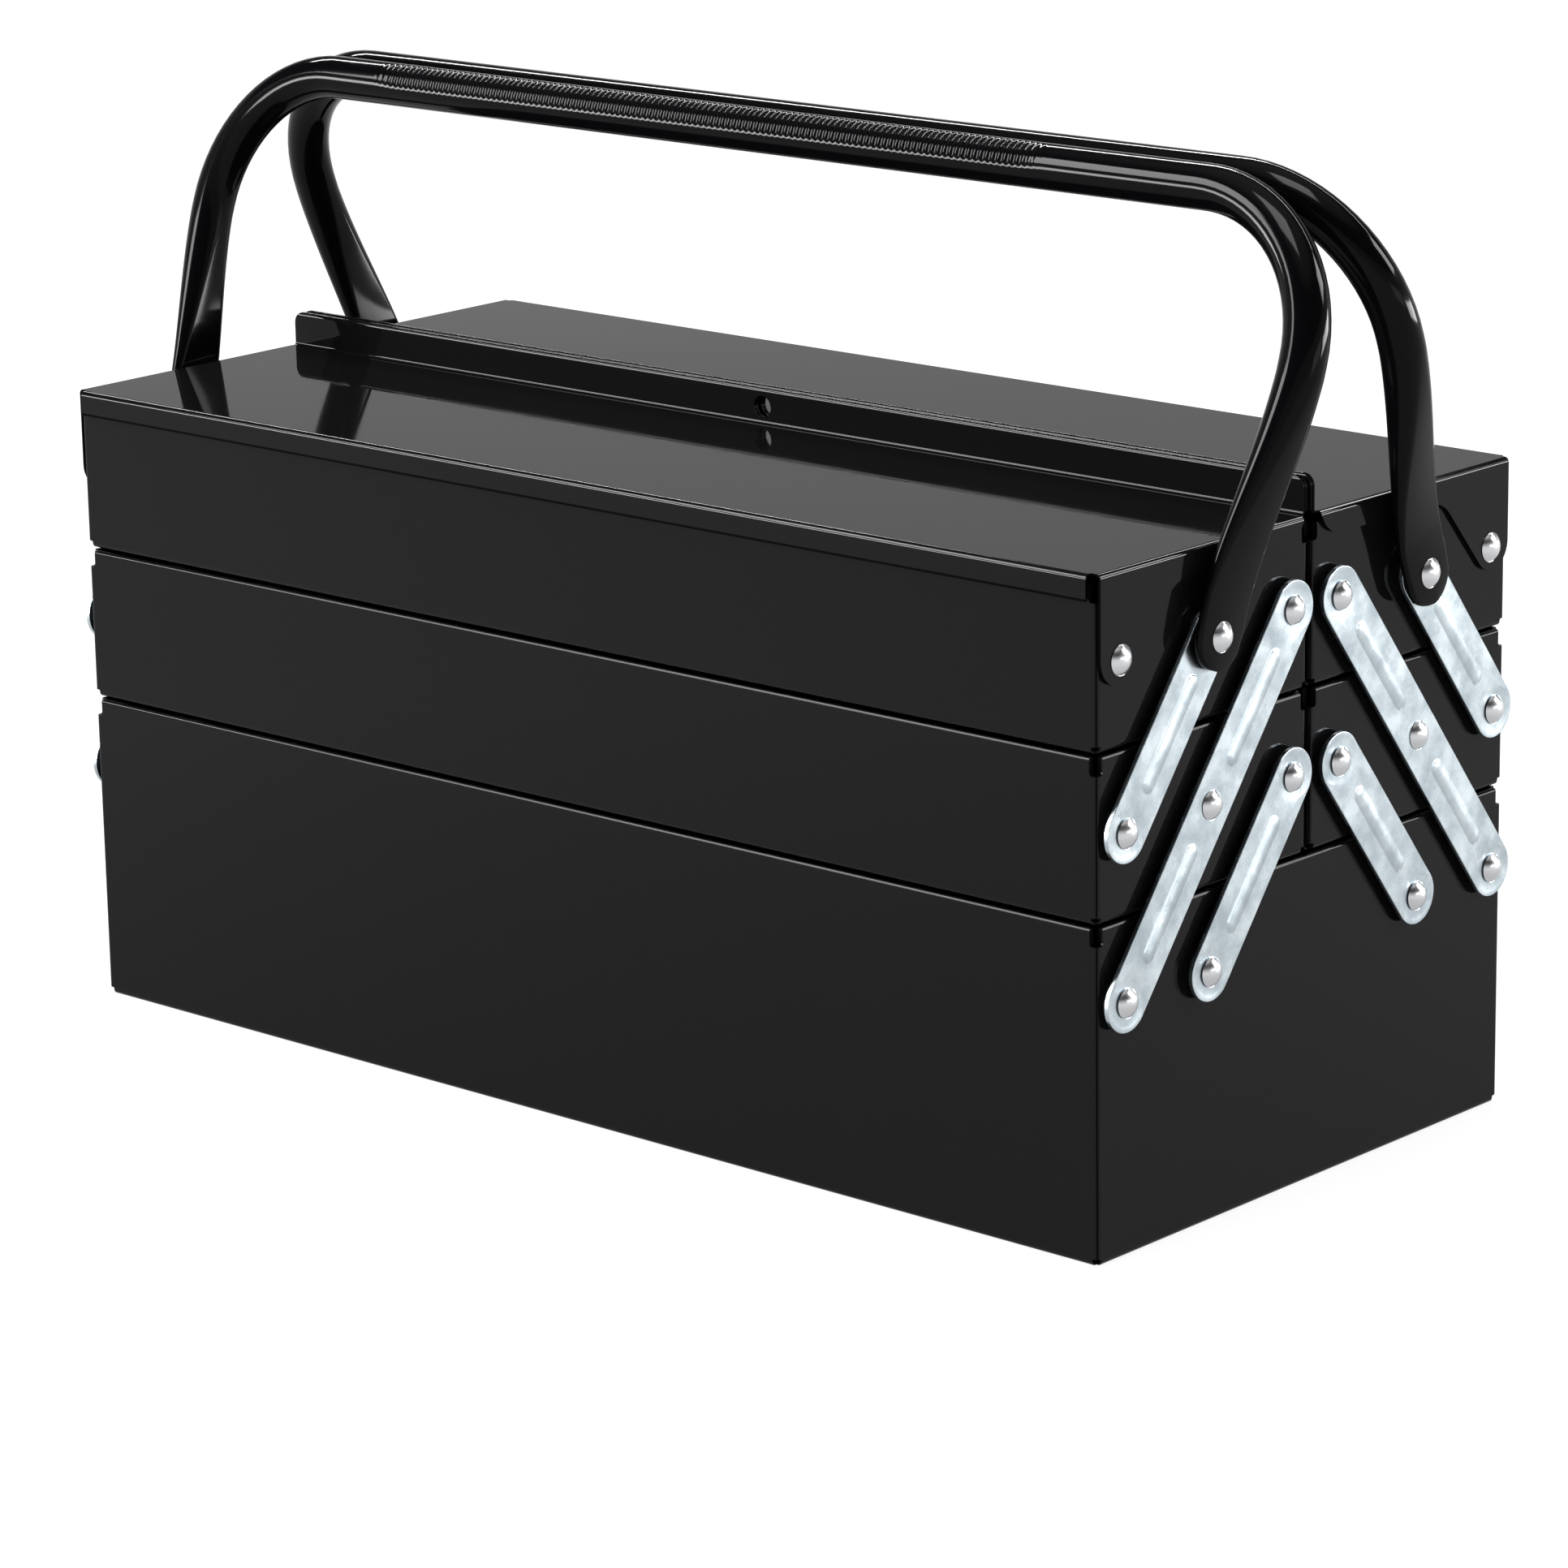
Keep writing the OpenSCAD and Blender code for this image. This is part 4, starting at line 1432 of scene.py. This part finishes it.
# ---------------------------------------------------------------- studio

@dataclass(frozen=True)
class Lamp:
    """A soft lamp that looks at the box."""

    name: str
    place: tuple[float, float, float]      # m
    size: tuple[float, float]              # m, its length and width
    radiance: float
    aim_height: float = 0.15               # m, height over the middle of the floor that it looks at

    def build(self) -> None:
        """Hangs the lamp."""
        data = bpy.data.lights.new(self.name, "AREA")
        data.shape = "RECTANGLE"
        data.size, data.size_y = self.size
        data.energy = self.radiance * self.size[0] * self.size[1] * math.pi
        lamp = stand(self.name, data)
        lamp.location = self.place
        aim = Vector((0, 0, self.aim_height)) - Vector(self.place)
        lamp.rotation_euler = aim.to_track_quat("-Z", "Y").to_euler()


@dataclass
class Studio:
    """The white floor, the room's soft light, the lamps and the camera."""

    floor_r: float = 9.0            # m
    floor_steps: int = 64
    paper_colour: str = "#f4f4f4"
    floor_glow: tuple[float, float] = (0.6, 0.95)         # in glossy things, near the box and far off; dimmed near the box as a painted shadow
    glow_reach: tuple[float, float] = (0.12, 0.6)         # m, where the first and the last of these count
    paper_share: float = 0.18       # share of the floor that the camera sees lit, with the shadow
    camera_place: tuple[float, float, float] = (1.24633, -1.37268, 0.59568)   # m
    camera_azimuth: float = 42.143  # degrees
    camera_elevation: float = 15.301
    camera_roll: float = -0.954
    camera_lens: float = 136.34     # mm
    film: float = 36.0              # mm, width of the film
    camera_reach: float = 100.0     # m, how far the camera sees

    # Radiance of the room by the sine of the angle above the horizon
    ROOM = ((0.0, 1.0), (0.1, 0.8), (0.2, 0.5), (0.33, 0.46), (0.385, 0.05), (0.72, 0.05), (0.84, 0.5),
            (1.0, 0.75))

    def build(self) -> None:
        """Builds the studio."""
        self.lay_floor()
        self.light_room()
        for lamp in (Lamp("overhead", (0.3, -0.6, 3.0), (1.3, 1.3), 12.0),
                     Lamp("rear_strip", (-0.3, 2.2, 2.0), (3.0, 0.12), 18.0),
                     Lamp("left_strip", (-2.2, 1.5, 2.25), (2.5, 0.12), 55.0),
                     Lamp("front_left_bank", (-2.1, -2.3, 2.05), (1.2, 1.35), 26.0),
                     Lamp("front_left_foot", (-2.1, -2.3, 0.37), (1.8, 0.44), 40.0),
                     Lamp("rear_right_bank", (2.1, 2.3, 1.9), (1.2, 1.0), 20.0),
                     Lamp("rear_right_foot", (2.1, 2.3, 0.37), (1.8, 0.44), 28.0),
                     Lamp("right_bank", (3.3, 0.6, 0.6), (1.6, 0.5), 1.8)):
            lamp.build()
        self.set_camera()
        bpy.context.scene.view_settings.view_transform = "Standard"

    def lay_floor(self) -> None:
        """Lays the floor: white paper, which glows so that it stays white and keeps a shadow; in glossy things its
        glow is dimmed near the box, a painted shadow.
        """
        bm = bmesh.new()
        bmesh.ops.create_circle(bm, cap_ends=True, segments=self.floor_steps, radius=self.floor_r)
        mesh = bpy.data.meshes.new("floor")
        bm.to_mesh(mesh)
        bm.free()
        floor = stand("floor", mesh)
        material = bpy.data.materials.new("white_paper")
        tree = cleared_tree(material)
        paper = add_node(tree, "ShaderNodeBsdfDiffuse", {"Color": linear(self.paper_colour)})
        place = add_node(tree, "ShaderNodeTexCoord")
        away = add_node(tree, "ShaderNodeVectorMath", {"operation": "LENGTH"}, {0: place.outputs["Object"]})
        # Glow that glossy rays see, dimmed near the box: a painted shadow
        far = add_node(tree, "ShaderNodeMapRange", span(self.glow_reach, self.floor_glow),
                       {"Value": away.outputs["Value"]}).outputs["Result"]
        camera = add_node(tree, "ShaderNodeLightPath").outputs["Is Camera Ray"]
        strength = add_node(tree, "ShaderNodeMath", {"operation": "MAXIMUM"}, {0: camera, 1: far})
        glow = add_node(tree, "ShaderNodeEmission", {"Color": linear("#ffffff")},
                        {"Strength": strength.outputs[0]})
        share = add_node(tree, "ShaderNodeMath", {"operation": "MULTIPLY_ADD", 1: -self.paper_share},
                         {0: camera, 2: self.seen_directly(tree)})
        mixed = add_node(tree, "ShaderNodeMixShader", {}, {0: share.outputs[0], 1: paper.outputs[0],
                                                           2: glow.outputs[0]})
        add_node(tree, "ShaderNodeOutputMaterial", {}, {"Surface": mixed.outputs[0]})
        mesh.materials.append(material)

    def seen_directly(self, tree: bpy.types.NodeTree) -> bpy.types.NodeSocket:
        """1 for rays from the camera and off gloss or through glass, 0 for the rest.

        Args:
            tree: Node tree that gets the nodes.

        Returns:
            The switch.
        """
        path = add_node(tree, "ShaderNodeLightPath")
        either = add_node(tree, "ShaderNodeMath", {"operation": "MAXIMUM"},
                          {0: path.outputs["Is Camera Ray"], 1: path.outputs["Is Glossy Ray"]})
        return add_node(tree, "ShaderNodeMath", {"operation": "MAXIMUM"},
                        {0: either.outputs[0], 1: path.outputs["Is Transmission Ray"]}).outputs[0]

    def light_room(self) -> None:
        """Sets the room's light: a pale horizon, a dark band above it and a soft ceiling."""
        world = bpy.data.worlds.new("studio")
        bpy.context.scene.world = world
        tree = cleared_tree(world)
        way = add_node(tree, "ShaderNodeTexCoord")
        height = add_node(tree, "ShaderNodeSeparateXYZ", {}, {0: way.outputs["Generated"]})
        ramp = add_node(tree, "ShaderNodeValToRGB", {}, {0: height.outputs["Z"]})
        stops = ramp.color_ramp.elements
        while len(stops) < len(self.ROOM):
            stops.new(0.5)
        for stop, (where, value) in zip(stops, self.ROOM):
            stop.position, stop.color = where, (value, value, value, 1)
        path = add_node(tree, "ShaderNodeLightPath")
        white = add_node(tree, "ShaderNodeMix", {"data_type": "RGBA", 7: linear("#ffffff")},
                         {0: path.outputs["Is Camera Ray"], 6: ramp.outputs["Color"]})
        glow = add_node(tree, "ShaderNodeBackground", {"Strength": 1.0}, {"Color": white.outputs[2]})
        add_node(tree, "ShaderNodeOutputWorld", {}, {"Surface": glow.outputs[0]})

    def set_camera(self) -> None:
        """Puts the camera where the photograph was taken."""
        azimuth, elevation = math.radians(self.camera_azimuth), math.radians(self.camera_elevation)
        forward = Vector((-math.sin(azimuth) * math.cos(elevation), math.cos(azimuth) * math.cos(elevation),
                          -math.sin(elevation)))
        level = forward.cross(Vector((0, 0, 1))).normalized()
        above = level.cross(forward)
        roll = math.radians(self.camera_roll)
        right = level * math.cos(roll) + above * math.sin(roll)
        up = right.cross(forward)
        data = bpy.data.cameras.new("camera")
        data.lens, data.sensor_width, data.clip_end = self.camera_lens, self.film, self.camera_reach
        camera = stand("camera", data)
        turn = Matrix((right, up, -forward)).transposed().to_4x4()
        camera.matrix_world = Matrix.Translation(self.camera_place) @ turn
        bpy.context.scene.camera = camera


def main() -> None:
    """Builds the box and the studio."""
    logging.basicConfig(level=logging.INFO, format="%(name)s: %(message)s")
    ToolBox().build()
    Studio().build()
    bpy.context.view_layer.update()


if __name__ == "__main__":
    main()
